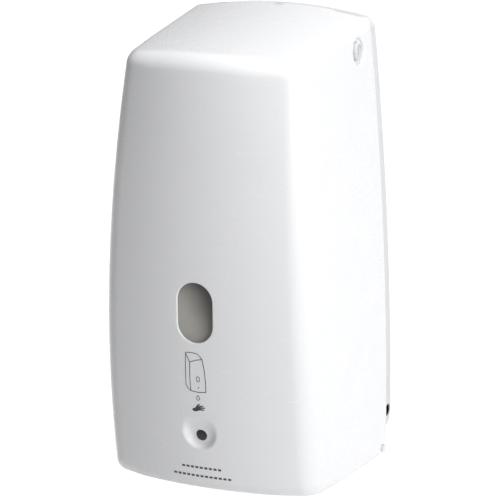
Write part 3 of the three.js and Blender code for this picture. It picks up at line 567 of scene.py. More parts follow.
def rounded_rectangle(x0, x1, z0, z1, radius, steps=6):
    radius = min(radius, (x1 - x0) / 2 - 0.001, (z1 - z0) / 2 - 0.001)
    loop = []
    for cx, cz, start in (
        (x1 - radius, z1 - radius, 0),
        (x0 + radius, z1 - radius, 90),
        (x0 + radius, z0 + radius, 180),
        (x1 - radius, z0 + radius, 270),
    ):
        loop += arc(np.array([cx, cz]), radius, start, start + 90, steps)
    return loop


def circle(x, z, radius, sides=40):
    return arc(np.array([x, z]), radius, 0, 360, sides)[:-1]


def signed_area(loop):
    p = np.array(loop)
    q = np.roll(p, -1, axis=0)
    return float((p[:, 0] * q[:, 1] - q[:, 0] * p[:, 1]).sum() / 2)


def grown(loop, amount):
    """A counter-clockwise loop moved outwards by an amount, corner by corner."""
    p = np.array(loop)
    before = p - np.roll(p, 1, axis=0)
    after = np.roll(p, -1, axis=0) - p
    n0 = np.stack([before[:, 1], -before[:, 0]], axis=1)
    n1 = np.stack([after[:, 1], -after[:, 0]], axis=1)
    n0 /= np.maximum(np.linalg.norm(n0, axis=1), 1e-9)[:, None]
    n1 /= np.maximum(np.linalg.norm(n1, axis=1), 1e-9)[:, None]
    both = n0 + n1
    both /= np.maximum((both * both).sum(axis=1) / 2, 0.35)[:, None]
    return [tuple(spot) for spot in p + both * amount]


def inside(loop, spot):
    found = False
    x, y = spot
    for (x0, y0), (x1, y1) in zip(loop, loop[1:] + loop[:1]):
        if (y0 > y) != (y1 > y) and x < (x1 - x0) * (y - y0) / (y1 - y0) + x0:
            found = not found
    return found


def filled(outline, holes=(), extra=()):
    """Triangles over a flat outline with holes: (points, triangles), the loops' points first."""
    points, edges = [], []
    for loop in (outline, *holes):
        start = len(points)
        points += [tuple(spot) for spot in loop]
        edges += [(start + i, start + (i + 1) % len(loop)) for i in range(len(loop))]
    loops_end = len(points)
    points += [tuple(spot) for spot in extra]
    made = delaunay_2d_cdt([Vector(p) for p in points], edges, [], 0, 1e-6, True)
    new_points, triangles, origins = made[0], made[2], made[3]
    spots = [tuple(v) for v in points]
    index = {}
    for i, (v, source) in enumerate(zip(new_points, origins)):
        index[i] = source[0] if source else len(spots)
        if not source:
            spots.append((v.x, v.y))
    kept = []
    for triangle in triangles:
        middle = sum((Vector(new_points[i]) for i in triangle), Vector((0, 0))) / 3
        if not inside(list(outline), middle):
            continue
        if any(inside(list(hole), middle) for hole in holes):
            continue
        kept.append(tuple(index[i] for i in triangle))
    return spots, kept, loops_end


def fill_face(shell, rings, lay, extra=()):
    """Fills the face between rings of (flat loop, corners), the outline first, then its holes."""
    flats = [flat for flat, _ in rings]
    spots, triangles, loops_end = filled(flats[0], flats[1:], extra)
    ids = [i for _, made in rings for i in made]
    ids += shell.corners([lay(u, v) for u, v in spots[loops_end:]])
    shell.faces += [tuple(ids[i] for i in triangle) for triangle in triangles]


def front_lay(u, v, h):
    """Lays a flat (across, up) outline so that its height points at the room."""
    return (u, -h, v)


SLAB_STEPS = 3


def slab(shell, outline, holes, low, high, edge, lay=front_lay, back_edge=None):
    """A plate with rounded edges; low and high are heights along the lay's third direction."""
    back_edge = edge if back_edge is None else back_edge
    sinking = [TAU / 4 * k / SLAB_STEPS for k in range(SLAB_STEPS + 1)]
    rising = [TAU / 4 * (1 - k / SLAB_STEPS) for k in range(SLAB_STEPS + 1)]
    steps = [(drawn, low + rise) for drawn, rise in quarter(back_edge, sinking)]
    steps += [(drawn, high - rise) for drawn, rise in quarter(edge, rising)]
    loops = [list(outline)] + [list(hole) for hole in holes]
    loops = [loop if signed_area(loop) > 0 else loop[::-1] for loop in loops]
    rings_low, rings_high = [], []
    for number, loop in enumerate(loops):
        inward = -1.0 if number == 0 else 1.0
        made = shell.rows([[lay(u, v, height) for u, v in grown(loop, inward * drawn)]
                           for drawn, height in steps])
        rings_low.append((grown(loop, inward * back_edge), made[0]))
        rings_high.append((grown(loop, inward * edge), made[-1]))
    fill_face(shell, rings_low, lambda u, v: lay(u, v, low))
    fill_face(shell, rings_high, lambda u, v: lay(u, v, high))


def block(shell, x, y, z, edge=0.5, corner=None):
    """A box with rounded edges, from (low, high) pairs."""
    corner = edge if corner is None else corner
    outline = rounded_rectangle(x[0], x[1], z[0], z[1], corner, 4)
    slab(shell, outline, (), -y[1], -y[0], edge)


def turned(shell, profile, centre, axis="z", sides=48):
    """A turned piece: the profile is (radius, height) pairs, with 0 radius only at its ends."""
    cx, cy, cz = centre
    rows = []
    for radius, height in profile:
        row = []
        for i in range(sides):
            a = TAU * i / sides
            c, s = math.cos(a) * radius, math.sin(a) * radius
            if axis == "z":
                row.append((cx + c, cy + s, cz + height))
            elif axis == "x":
                row.append((cx + height, cy + c, cz + s))
            else:
                row.append((cx + c, cy - height, cz + s))
        rows.append(row)
    made = []
    for (radius, _), row in zip(profile, rows):
        made.append(shell.corners(row[:1]) * sides if radius < 1e-6 else shell.corners(row))
    closed_profile = profile[0][0] > 1e-6 and profile[-1][0] > 1e-6
    pairs = list(zip(made, made[1:]))
    if closed_profile:
        pairs.append((made[-1], made[0]))
    for first, second in pairs:
        for i in range(sides):
            j = (i + 1) % sides
            face = dict.fromkeys((first[i], first[j], second[j], second[i]))
            if len(face) > 2:
                shell.faces.append(tuple(face))


def bead(radius, low, high, edge, steps=3):
    """The profile of a round bar with rounded ends, from its axis to its axis."""
    profile = [(0.0, low)]
    for k in range(steps + 1):
        a = TAU / 4 * k / steps
        profile.append((radius - edge + edge * math.sin(a), low + edge - edge * math.cos(a)))
    for k in range(steps + 1):
        a = TAU / 4 * k / steps
        profile.append((radius - edge + edge * math.cos(a), high - edge + edge * math.sin(a)))
    profile.append((0.0, high))
    return profile


def washer(inner, outer, low, high, edge, steps=3):
    """The closed profile of a ring with rounded edges."""
    profile = []
    corners = (
        (inner + edge, low + edge, 180),
        (outer - edge, low + edge, 270),
        (outer - edge, high - edge, 0),
        (inner + edge, high - edge, 90),
    )
    for cx, cz, start in corners:
        profile += arc(np.array([cx, cz]), edge, start, start + 90, steps)
    return profile


# ------------------------------------------------------------------ the cover's form

HEIGHT = COVER_HIGH[2]
RIM_Y = COVER_HIGH[1]
RIM_HALF_WIDTH = (70.5, 67.5, 57.0)
FRONT_HALF_WIDTH = (66.3, 64.6, 56.4)
CORNER_DEPTH = (93.5, 105.3, 93.4)
FRONT_BOW = 12.0
CORNER_RADIUS = 16.0
ROOF_ARCH = 6.2
ARCH_HALF_WIDTH = 60.0
ROOF_SLOPE = 0.148
ROOF_DROP = 8.0
TOP_SHARE = (HEIGHT - ROOF_DROP) / HEIGHT
LEAST_EDGE = 1.5
BOTTOM_CORNER_EXTRA = 1.5
FRONT_EDGE_EXTRA = 4.0
LIP = 2.0
LIP_TOP = 3.0

SIDE_COLUMNS = 30
CORNER_COLUMNS = 12
FRONT_COLUMNS = 26
WALL_ROWS = 76
EDGE_ROWS = 8
ROOF_ROWS = 24

WINDOW_X, WINDOW_Z = -0.6, 108.7
WINDOW_HALF = (11.1, 17.85)
WINDOW_LAND = 1.0
WINDOW_FLARE = 1.6
SENSOR_X = -0.6
SENSOR_Z = 33.6
SENSOR_TILT = math.radians(6.0)
SCOOP_Z = 36.0
SCOOP_RADIUS = 10.6
SCOOP_TOP = 46.5
SCOOP_RAMP = 9.0
SCOOP_FLOOR_BLEND, SCOOP_LEDGE_BLEND, SCOOP_RIM_BLEND = 1.6, 1.3, 0.7
SCOOP_SLOPE_ABOVE, SCOOP_SLOPE_BELOW = 0.26, 1.0
LENS_HOLE = 3.5
LENS_BORE = 2.6
LOCK_Y = -28.5
LOCK_Z = 248.0
LOCK_RECESS = 7.8
LOCK_FLOOR_X = 56.2
LOCK_FLOOR_EDGE = 0.8
LOCK_FLOOR_THICKNESS = 3.0
HINGE_Y = -14.5
HINGE_Z = 5.5
PIN_HOLE = 2.3

# Heights of the blocks of the wall's grid that are opened and filled again
WINDOW_BLOCK = (84.0, 135.0)
SCOOP_BLOCK, SCOOP_BLOCK_INSIDE = (17.5, 51.0), (15.5, 53.0)
LOCK_BLOCK, LOCK_BLOCK_INSIDE = (235.5, 259.8), (234.5, 258.8)


def through(three, share):
    """A smooth value through readings at the bottom, the middle and the top."""
    low, middle, high = three
    curve = 2 * (low + high) - 4 * middle
    return low + (high - low - curve) * share + curve * share * share


def roof_height(x, y):
    return HEIGHT - ROOF_ARCH * (x / ARCH_HALF_WIDTH) ** 2 - ROOF_SLOPE * (RIM_Y - y)


def roof_edge(inset):
    return max(sizes().roof_edge / MM - inset, LEAST_EDGE)


def eased(value):
    """0 below 0, 1 above 1, with a smooth start and end."""
    value = np.clip(value, 0.0, 1.0)
    return value * value * (3 - 2 * value)


def roof_edges(inset):
    """The roof's edge radius for each column, larger round the front."""
    extra = np.zeros(HALF_COLUMNS)
    for i, (kind, part) in enumerate(KINDS):
        if kind == "side":
            extra[i] = 0.35 * eased((part - 0.7) / 0.3)
        elif kind == "corner":
            extra[i] = 0.35 + 0.25 * part
        elif kind == "front":
            extra[i] = 0.6 + 0.4 * eased(part / 0.35)
    return np.maximum(sizes().roof_edge / MM + FRONT_EDGE_EXTRA * extra - inset, LEAST_EDGE)


def plan_facts(share, inset):
    """What draws the plan outline at one height: the side's line, the corner's and front's arcs."""
    half_rear = through(RIM_HALF_WIDTH, share) - inset
    half_front = through(FRONT_HALF_WIDTH, share) - inset
    corner_y = RIM_Y - through(CORNER_DEPTH, share) + inset
    bow = (half_front**2 + FRONT_BOW**2) / (2 * FRONT_BOW)
    arc_y = corner_y - FRONT_BOW + bow
    radius = max(CORNER_RADIUS - inset, 1.0)
    run = np.hypot(half_front - half_rear, corner_y - RIM_Y)
    along = np.array([(half_front - half_rear) / run, (corner_y - RIM_Y) / run])
    inward = np.array([along[1], -along[0]])
    rear = np.array([half_rear, np.full_like(half_rear, RIM_Y)])
    start = rear + inward * radius
    to_arc = start - np.array([np.zeros_like(half_rear), arc_y])
    half = (to_arc * along).sum(axis=0)
    reach = -half + np.sqrt(half**2 - (to_arc**2).sum(axis=0) + (bow - radius) ** 2)
    centre = start + along * reach
    return rear, along, inward, radius, centre, reach, bow, arc_y


def column_kinds():
    """Each column of the right half, from the rear rim to the middle of the front."""
    kinds = [("rim", 0.0), ("rim", 0.2)]
    kinds += [("side", i / SIDE_COLUMNS) for i in range(SIDE_COLUMNS)]
    kinds += [("corner", i / CORNER_COLUMNS) for i in range(CORNER_COLUMNS)]
    kinds += [("front", i / FRONT_COLUMNS) for i in range(FRONT_COLUMNS + 1)]
    return kinds


RIM_START = 0.7
KINDS = column_kinds()
HALF_COLUMNS = len(KINDS)
COLUMNS = 2 * HALF_COLUMNS - 1
MIDDLE = HALF_COLUMNS - 1
FRONT_BLOCK = (MIDDLE - 8, MIDDLE + 8)
RIM_SHIFTS = {0: 0.7, 1: 0.2}


def plan_row(share, inset):
    """The right half's plan points and their outward directions, each at its own share."""
    rear, along, inward, radius, centre, reach, bow, arc_y = plan_facts(share, inset)
    side_angle = np.arctan2(-inward[1], -inward[0])
    front_angle = np.arctan2(centre[1] - arc_y, centre[0])
    spots = np.zeros((HALF_COLUMNS, 2))
    out = np.zeros((HALF_COLUMNS, 2))
    for i, (kind, part) in enumerate(KINDS):
        if kind in ("rim", "side"):
            gone = part if kind == "rim" else RIM_START + (reach[i] - RIM_START) * part
            spots[i] = rear[:, i] + along[:, i] * gone
            blend = 0.0 if kind == "rim" else part
            facing = np.array([1.0, 0.0]) * (1 - blend) - inward[:, i] * blend
            out[i] = facing / np.linalg.norm(facing)
            continue
        if kind == "corner":
            angle = side_angle[i] + (front_angle[i] - side_angle[i]) * part
            middle, size = centre[:, i], radius
        else:
            angle = front_angle[i] + (-TAU / 4 - front_angle[i]) * part
            middle, size = np.array([0.0, arc_y[i]]), bow[i]
        out[i] = (math.cos(angle), math.sin(angle))
        spots[i] = middle + out[i] * size
    spots[MIDDLE, 0] = 0.0
    return spots, out


def mirrored(row):
    """The full row, from the left rear rim round the front to the right rear rim."""
    left = row * np.array([-1.0, 1.0, 1.0])
    return np.concatenate([left, row[:-1][::-1]])


def rim_shift(inset):
    """The rear rim's rounding draws both faces of the wall towards its middle."""
    shift = np.zeros(HALF_COLUMNS)
    for i, amount in RIM_SHIFTS.items():
        shift[i] = amount if inset == 0 else -amount
    return shift


def bottom_radius():
    """The bottom edge's radius for each column, larger round the front corners."""
    near = np.zeros(HALF_COLUMNS)
    for i, (kind, part) in enumerate(KINDS):
        if kind == "corner":
            near[i] = 1.0
        elif kind == "side":
            near[i] = max(0.0, (part - 0.8) / 0.2)
        elif kind == "front":
            near[i] = max(0.0, 1.0 - part / 0.25)
    return sizes().bottom_edge / MM + BOTTOM_CORNER_EXTRA * eased(near)


def plan_at(height, inset):
    """The plan's points and outward directions where each column has its own height."""
    share = np.full(HALF_COLUMNS, 0.5)
    for _ in range(4):
        spots, out = plan_row(np.clip(share, 0, 1.04) * TOP_SHARE, inset)
        top = roof_height(spots[:, 0], spots[:, 1]) - inset
        share = height(top) / (top - roof_edge(inset))
    return spots, out, height(top)


def cover_sheet(inset):
    """Rows of points over one face of the cover's wall, from the bottom to the roof's rear."""
    rows = []
    shift = rim_shift(inset)
    bottom = bottom_radius()
    edges = roof_edges(inset)
    outer = inset == 0

    def lay(spots, out, drawn, height):
        moved = spots - out * (drawn + shift)[:, None]
        for i in (0, 1):
            moved[i, 1] = spots[i, 1]
        rows.append(mirrored(np.column_stack([moved, height])))
        return moved

    level = np.zeros(HALF_COLUMNS)
    foot = bottom if outer else level + LIP_TOP
    spots, out, _ = plan_at(lambda top: level, inset)
    if outer:
        lay(spots, out, bottom + LIP, level)
        for drawn, rise in quarter(bottom, [TAU / 4 * k / EDGE_ROWS for k in range(EDGE_ROWS)]):
            lay(spots, out, drawn, rise)
    else:
        lay(spots, out, bottom + LIP - inset, level + LIP_TOP)
    wall_rows = WALL_ROWS if outer else WALL_ROWS + EDGE_ROWS
    for k in range(wall_rows + 1):
        part = k / wall_rows
        spots, out, height = plan_at(lambda top: foot + part * (top - edges - foot), inset)
        lay(spots, out, level, height)
    for below, drawn in quarter(edges, [TAU / 4 * k / EDGE_ROWS for k in range(1, EDGE_ROWS + 1)]):
        spots, out, _ = plan_at(lambda top: top - below, inset)
        flat = spots - out * drawn[:, None]
        height = roof_height(flat[:, 0], flat[:, 1]) - inset - below
        lay(spots, out, drawn, height)
    rim = flat
    for k in range(1, ROOF_ROWS + 1):
        scale = 1 - 0.97 * k / ROOF_ROWS
        flat = np.column_stack([rim[:, 0] * scale, RIM_Y + (rim[:, 1] - RIM_Y) * scale])
        for i in (0, 1):
            flat[i, 1] = RIM_Y - KINDS[i][1]
        height = roof_height(flat[:, 0], flat[:, 1]) - inset - shift
        rows.append(mirrored(np.column_stack([flat, height])))
    return rows


def front_y(x, z, inset):
    """Where the bowed front face lies."""
    y = COVER_LOW[1]
    for _ in range(6):
        share = z / (roof_height(x, y) - inset - roof_edge(inset)) * TOP_SHARE
        facts = plan_facts(np.array([share]), inset)
        y = float(facts[7][0] - math.sqrt(facts[6][0] ** 2 - x * x))
    return y


def side_x(y, z, inset):
    """Where the right side face lies, the roof's rounded edge included."""
    wall_x = COVER_HIGH[0]
    edge = roof_edge(inset)
    for _ in range(6):
        top = roof_height(wall_x, y) - inset - edge
        rear, along = plan_facts(np.array([min(z / top, 1.0) * TOP_SHARE]), inset)[:2]
        wall_x = float(rear[0, 0] + along[0, 0] * (y - RIM_Y) / along[1, 0])
    drawn = 0.0
    for _ in range(8):
        above = (z - roof_height(wall_x - drawn, y) + inset) / edge + 1
        drawn = edge * (1 - math.sqrt(1 - min(max(above, 0.0), 0.98) ** 2))
    return wall_x - drawn


def soft_least(a, b, blend):
    """The smaller of two values, with the crossing rounded off."""
    share = max(blend - abs(a - b), 0.0) / blend
    return min(a, b) - share * share * blend / 4


def scoop_depth(x, z, radius):
    """How far the sensor's scoop lies behind the front face."""
    deepest = sizes().scoop_depth / MM
    ramp = (SCOOP_TOP - z) * deepest / SCOOP_RAMP
    floor = soft_least(deepest, ramp, SCOOP_FLOOR_BLEND)
    away = max(math.hypot(x - SENSOR_X, z - SCOOP_Z), 0.001)
    downward = float(eased(0.5 - 0.5 * (z - SCOOP_Z) / away))
    slope = SCOOP_SLOPE_ABOVE + (SCOOP_SLOPE_BELOW - SCOOP_SLOPE_ABOVE) * downward
    ledge = (radius - away) * slope
    depth = soft_least(floor, ledge, SCOOP_LEDGE_BLEND)
    return -soft_least(-depth, 0.0, SCOOP_RIM_BLEND)


def oval(grow=0.0):
    return rounded_rectangle(
        WINDOW_X - WINDOW_HALF[0] - grow,
        WINDOW_X + WINDOW_HALF[0] + grow,
        WINDOW_Z - WINDOW_HALF[1] - grow,
        WINDOW_Z + WINDOW_HALF[1] + grow,
        WINDOW_HALF[0] + grow,
        16,
    )


def tilted_ring(radius, behind=0.0, sides=64):
    """A ring round the sensor's line of sight, given by its flat (x, z) places."""
    rise = math.sin(SENSOR_TILT) * behind
    ring = circle(0.0, 0.0, radius, sides)
    return [(SENSOR_X + u, SENSOR_Z + rise + v * math.cos(SENSOR_TILT)) for u, v in ring]


def patch(shell, grid, where, rings, flat_of, place_of, spacing=2.6):
    """Fills a block of the grid round the outermost ring, then joins the rings inwards."""
    j0, j1, i0, i1 = where
    loop = [grid[j0][i] for i in range(i0, i1)] + [grid[j][i1] for j in range(j0, j1)]
    loop += [grid[j1][i] for i in range(i1, i0, -1)] + [grid[j][i0] for j in range(j1, j0, -1)]
    loop_flat = [flat_of(shell.points[k]) for k in loop]
    p = np.array(loop_flat)
    extra = []
    keep_off = grown(rings[0][0], spacing * 0.6)
    for u in np.arange(p[:, 0].min() + spacing, p[:, 0].max(), spacing):
        for v in np.arange(p[:, 1].min() + spacing, p[:, 1].max(), spacing):
            if inside(keep_off, (u, v)) or not inside(loop_flat, (u, v)):
                continue
            if np.hypot(p[:, 0] - u, p[:, 1] - v).min() > spacing * 0.6:
                extra.append((u, v))
    fill_face(shell, [(loop_flat, loop), rings[0]], place_of, extra)
    for (_, first), (_, second) in zip(rings, rings[1:]):
        shell.strip(first, second)


def block_round(grid, shell, low, high, i0, i1):
    """The rows of the grid that take in heights from low to high."""
    middle = (i0 + i1) // 2
    heights = [shell.points[row[middle]][2] for row in grid[:-ROOF_ROWS]]
    j0 = max(j for j, z in enumerate(heights) if z <= low)
    j1 = min(j for j, z in enumerate(heights) if z >= high)
    return j0, j1, i0, i1


def side_columns(shell, row, y_front, y_rear):
    """Columns on the right side that take in depths between y_front and y_rear."""
    right = range(MIDDLE + FRONT_COLUMNS + CORNER_COLUMNS, COLUMNS - 1)
    depths = {i: shell.points[row[i]][1] for i in right}
    i0 = max(i for i in right if depths[i] <= y_front)
    i1 = min(i for i in right if depths[i] >= y_rear)
    return i0, i1


def ring_of(shell, flat, place):
    """A flat loop and the corners that it makes in space."""
    return flat, shell.corners([place(u, v) for u, v in flat])


def on_front(inset, depth=0.0):
    """Puts (across, up) on the front face of the wall."""
    return lambda u, v: (u, front_y(u, v, inset) + depth, v)


def on_flank(inset, depth=0.0):
    """Puts (depth, up) on the right face of the wall."""
    return lambda u, v: (side_x(u, v, inset) - depth, u, v)


def front_flat(point):
    return (point[0], point[2])


def side_flat(point):
    return (point[1], point[2])


def open_window(shell, outer, inner, wall):
    """The level window: a rounded rim, then straight through the wall."""
    rim = sizes().window_rim / MM
    steps = [(rim + 3.0, 0.0), (rim + 1.2, 0.0)]
    steps += [(out, deep) for deep, out in quarter(rim, np.linspace(TAU / 4, 0, 8))]
    steps.append((0.0, WINDOW_LAND))
    rings = [ring_of(shell, oval(out), on_front(0, deep)) for out, deep in steps]
    back = ring_of(shell, oval(WINDOW_FLARE), on_front(wall))
    outside = block_round(outer, shell, *WINDOW_BLOCK, *FRONT_BLOCK)
    patch(shell, outer, outside, [*rings, back], front_flat, on_front(0))
    within = block_round(inner, shell, *WINDOW_BLOCK, *FRONT_BLOCK)
    wide = ring_of(shell, oval(WINDOW_FLARE + 1.5), on_front(wall))
    patch(shell, inner, within, [wide, back], front_flat, on_front(wall))
    return outside, within


def open_scoop(shell, outer, inner, wall):
    """The sensor's scoop, open at its middle for the lens."""

    def scooped(u, v):
        return (u, front_y(u, v, 0) + scoop_depth(u, v, SCOOP_RADIUS), v)

    def scooped_inside(u, v):
        return (u, front_y(u, v, wall) + scoop_depth(u, v, SCOOP_RADIUS + wall), v)

    radii = (*np.linspace(14.6, 3.9, 34), 3.7, 3.56, LENS_HOLE)
    rings = [ring_of(shell, tilted_ring(radius), scooped) for radius in radii]
    back, up = LENS_BORE * math.cos(SENSOR_TILT), LENS_BORE * math.sin(SENSOR_TILT)
    bore = [scooped(u, v) for u, v in tilted_ring(LENS_HOLE)]
    end = (None, shell.corners([(x, y + back, z + up) for x, y, z in bore]))
    outside = block_round(outer, shell, *SCOOP_BLOCK, *FRONT_BLOCK)
    patch(shell, outer, outside, [*rings, end], front_flat, scooped)
    radii = np.linspace(15.6, 4.6, 16)
    rings = [ring_of(shell, tilted_ring(radius, LENS_BORE), scooped_inside) for radius in radii]
    within = block_round(inner, shell, *SCOOP_BLOCK_INSIDE, *FRONT_BLOCK)
    patch(shell, inner, within, [*rings, end], front_flat, scooped_inside)
    return outside, within


def open_lock(shell, outer, inner, wall):
    """The lock's recess on the right side, with a boss behind it."""
    rim = sizes().lock_rim / MM
    boss_x = LOCK_FLOOR_X - LOCK_FLOOR_THICKNESS
    boss = LOCK_RECESS + 1.6

    def ring(radius, place):
        return ring_of(shell, circle(LOCK_Y, LOCK_Z, radius, 56), place)

    def level(x):
        return lambda u, v: (x, u, v)

    def between(share):
        return lambda u, v: (side_x(u, v, wall) * (1 - share) + boss_x * share, u, v)

    steps = [(LOCK_RECESS + rim + 0.9, 0.0), (LOCK_RECESS + rim + 0.4, 0.0)]
    for deep, out in quarter(rim, np.linspace(TAU / 4, 0.12, 7)):
        steps.append((LOCK_RECESS - 0.1 + out, deep))
    rings = [ring(radius, on_flank(0, deep)) for radius, deep in steps]
    for rise, drawn in quarter(LOCK_FLOOR_EDGE, np.linspace(0.1, TAU / 4, 5)):
        rings.append(ring(LOCK_RECESS - 0.12 - drawn, level(LOCK_FLOOR_X + rise)))
    rings.append(ring(5.9, level(LOCK_FLOOR_X)))
    rings.append(ring(5.6, level(LOCK_FLOOR_X - 0.3)))
    end = ring(5.6, level(boss_x))
    row = EDGE_ROWS + WALL_ROWS - 8
    columns = side_columns(shell, outer[row], -41.5, -15.5)
    outside = block_round(outer, shell, *LOCK_BLOCK, *columns)
    patch(shell, outer, outside, [*rings, end], side_flat, on_flank(0))
    steps = ((boss + 0.7, 0.0), (boss + 0.3, 0.1), (boss, 0.5), (boss - 0.1, 0.9),
             (boss - 0.5, 1.0))
    rings = [ring(radius, between(share)) for radius, share in steps]
    columns = side_columns(shell, inner[row], -42.5, -14.5)
    within = block_round(inner, shell, *LOCK_BLOCK_INSIDE, *columns)
    patch(shell, inner, within, [*rings, end], side_flat, on_flank(wall))
    return outside, within


def add_cover_shell():
    """The cover: two faces with a wall between them, and its openings."""
    shell = Shell()
    wall = sizes().wall / MM
    outer = [shell.corners(row) for row in cover_sheet(0.0)]
    inner = [shell.corners(row) for row in cover_sheet(wall)]
    openings = (open_window, open_scoop, open_lock)
    blocks = [opened(shell, outer, inner, wall) for opened in openings]
    for face, grid in enumerate((outer, inner)):
        taken = set()
        for both in blocks:
            j0, j1, i0, i1 = both[face]
            taken |= {(j, i) for j in range(j0, j1) for i in range(i0, i1)}
        for j, (low, high) in enumerate(zip(grid, grid[1:])):
            for i in range(COLUMNS - 1):
                if (j, i) not in taken:
                    shell.faces.append((low[i], low[i + 1], high[i + 1], high[i]))
        shell.fan(grid[-1], flip=face > 0)
    shell.strip(outer[0], inner[0], closed=False)
    for column in (0, COLUMNS - 1):
        shell.strip([row[column] for row in outer], [row[column] for row in inner], closed=False)
    shell.faces.append((outer[-1][0], outer[-1][-1], inner[-1][-1], inner[-1][0]))
    look = "cover_gloss"
    cover = as_piece(shell, "cover_shell", "cover", look, look, ["front_cover"], even=False)
    return carved(cover, bar(PIN_HOLE, -80.0, 80.0, (0.0, HINGE_Y, HINGE_Z), "x"))


# ------------------------------------------------------------------ cover fittings


def on_side(u, v, h):
    """Lays a flat (depth, up) outline so that its height points to the right."""
    return (h, u, v)


def carved(piece, *shells):
    """Cuts closed shells out of a piece for good."""
    cutters = []
    for number, shell in enumerate(shells):
        mesh = mesh_of(shell, f"cutter_{number}")
        tidy(mesh)
        cutter = linked(mesh.name, mesh)
        modifier = piece.modifiers.new("Cut", "BOOLEAN")
        modifier.object = cutter
        modifier.solver = "EXACT"
        cutters.append(cutter)
    even = piece.modifiers.get(EVEN_FACES) is not None
    if even:
        piece.modifiers.remove(piece.modifiers[EVEN_FACES])
    evaluated = piece.evaluated_get(bpy.context.evaluated_depsgraph_get())
    piece.data = bpy.data.meshes.new_from_object(evaluated)
    piece.modifiers.clear()
    for cutter in cutters:
        bpy.data.objects.remove(cutter)
    tidy(piece.data)
    if even:
        again = piece.modifiers.new(EVEN_FACES, "WEIGHTED_NORMAL")
        again.keep_sharp = True
    return piece


def bar(radius, low, high, centre, axis, edge=0.2, sides=32):
    shell = Shell()
    turned(shell, bead(radius, low, high, edge), centre, axis, sides)
    return shell


def leaning(shell, angle, centre):
    """Turns a shell about the X axis through the origin, then moves it."""
    c, s = math.cos(angle), math.sin(angle)
    cx, cy, cz = centre
    shell.points = [(x + cx, y * c - z * s + cy, y * s + z * c + cz) for x, y, z in shell.points]
    return shell


def add_pane():
    shell = Shell()
    low, high = node_box_mm("sight_window")
    outline = rounded_rectangle(low[0], high[0], low[2], high[2], (high[0] - low[0]) / 2, 20)
    slab(shell, outline, (), -high[1], -low[1], 0.4)
    return as_piece(shell, "level_pane", "cover", "window_pane", "window_pane", ["sight_window"])


def add_lens():
    """The filter over the sensor: a shallow dome with a rounded shoulder."""
    shell = Shell()
    depth = scoop_depth(0.0, SENSOR_Z, SCOOP_RADIUS)
    centre = (SENSOR_X, front_y(SENSOR_X, SENSOR_Z, 0) + depth + 0.35, SENSOR_Z)
    radius = LENS_HOLE - 0.1
    profile = [(0.0, -3.0), (radius - 0.2, -3.0), (radius, -2.8), (radius, -0.1)]
    profile += [(radius - 0.3 + 0.3 * math.cos(a), -0.1 + 0.3 * math.sin(a))
                for a in np.linspace(0.25, TAU / 4, 5)]
    profile += [(radius * k, 0.2 + 0.3 * (1 - k * k)) for k in (0.85, 0.7, 0.5, 0.3, 0.12, 0.0)]
    turned(shell, profile, (0.0, 0.0, 0.0), "y", 56)
    leaning(shell, SENSOR_TILT, centre)
    return as_piece(shell, "sensor_dome", "cover", "dark_plastic", "lens", ["sensor_lens"])


def add_lock():
    """The lock's fixed sleeve and its turning barrel with a slot for a flat key."""
    sleeve = Shell()
    centre = (0.0, LOCK_Y, LOCK_Z)
    low, high = node_box_mm("lock_sleeve")
    turned(sleeve, washer(3.6, 5.4, low[0], high[0], 0.55, 4), centre, "x", 56)
    made = [as_piece(sleeve, "lock_ring", "cover", "cover_gloss", "plate_white", ["lock_sleeve"])]
    barrel = Shell()
    low, high = node_box_mm("lock_barrel")
    slot = rounded_rectangle(LOCK_Y - 0.6, LOCK_Y + 0.6, LOCK_Z - 2.4, LOCK_Z + 2.4, 0.3, 3)
    face = circle(LOCK_Y, LOCK_Z, 3.4, 48)
    slab(barrel, face, [slot], high[0] - 2.6, high[0], 0.3, on_side, 0.05)
    turned(barrel, bead(3.4, low[0], high[0] - 2.7, 0.2), centre, "x", 48)
    body = frame_body("lock_barrel")
    made.append(as_piece(barrel, "lock_plug", body, "cover_gloss", "plate_white", ["lock_barrel"]))
    return made


def frame_body(node):
    """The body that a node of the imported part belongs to."""
    bodies = frame["record"]["behaviour"]["bodies"]
    return next(name for name, nodes in bodies.items() if node in nodes)


PRINT_PROUD, PRINT_SUNK = 0.07, 0.15


def ribbon(shell, points, width, closed=False):
    """A printed line: a thin closed strip along (across, up) points on the front face."""
    p = np.array(points, dtype=float)
    ahead = np.roll(p, -1, axis=0) - p
    behind = p - np.roll(p, 1, axis=0)
    if not closed:
        ahead[-1], behind[0] = behind[-1], ahead[0]
    n0 = np.stack([-behind[:, 1], behind[:, 0]], axis=1)
    n1 = np.stack([-ahead[:, 1], ahead[:, 0]], axis=1)
    n0 /= np.linalg.norm(n0, axis=1)[:, None]
    n1 /= np.linalg.norm(n1, axis=1)[:, None]
    both = n0 + n1
    both /= np.maximum((both * both).sum(axis=1) / 2, 0.4)[:, None]
    rows = []
    for spot, across in zip(p, both):
        left, right = spot + across * width / 2, spot - across * width / 2
        corners = ((left, PRINT_SUNK), (left, -PRINT_PROUD))
        corners += ((right, -PRINT_PROUD), (right, PRINT_SUNK))
        rows.append([(u, front_y(u, v, 0) + deep, v) for (u, v), deep in corners])
    made = shell.rows(rows)
    if closed:
        shell.strip(made[-1], made[0])
    else:
        shell.fan(made[0])
        shell.fan(made[-1], flip=True)


def subdivided(points, closed=False, step=1.5):
    """The same polyline with no part longer than a step, so that it follows the bow."""
    p = list(points) + ([points[0]] if closed else [])
    spots = []
    for (x0, z0), (x1, z1) in zip(p, p[1:]):
        count = max(1, math.ceil(math.hypot(x1 - x0, z1 - z0) / step))
        spots += [(x0 + (x1 - x0) * i / count, z0 + (z1 - z0) * i / count) for i in range(count)]
    return spots if closed else spots + [p[-1]]


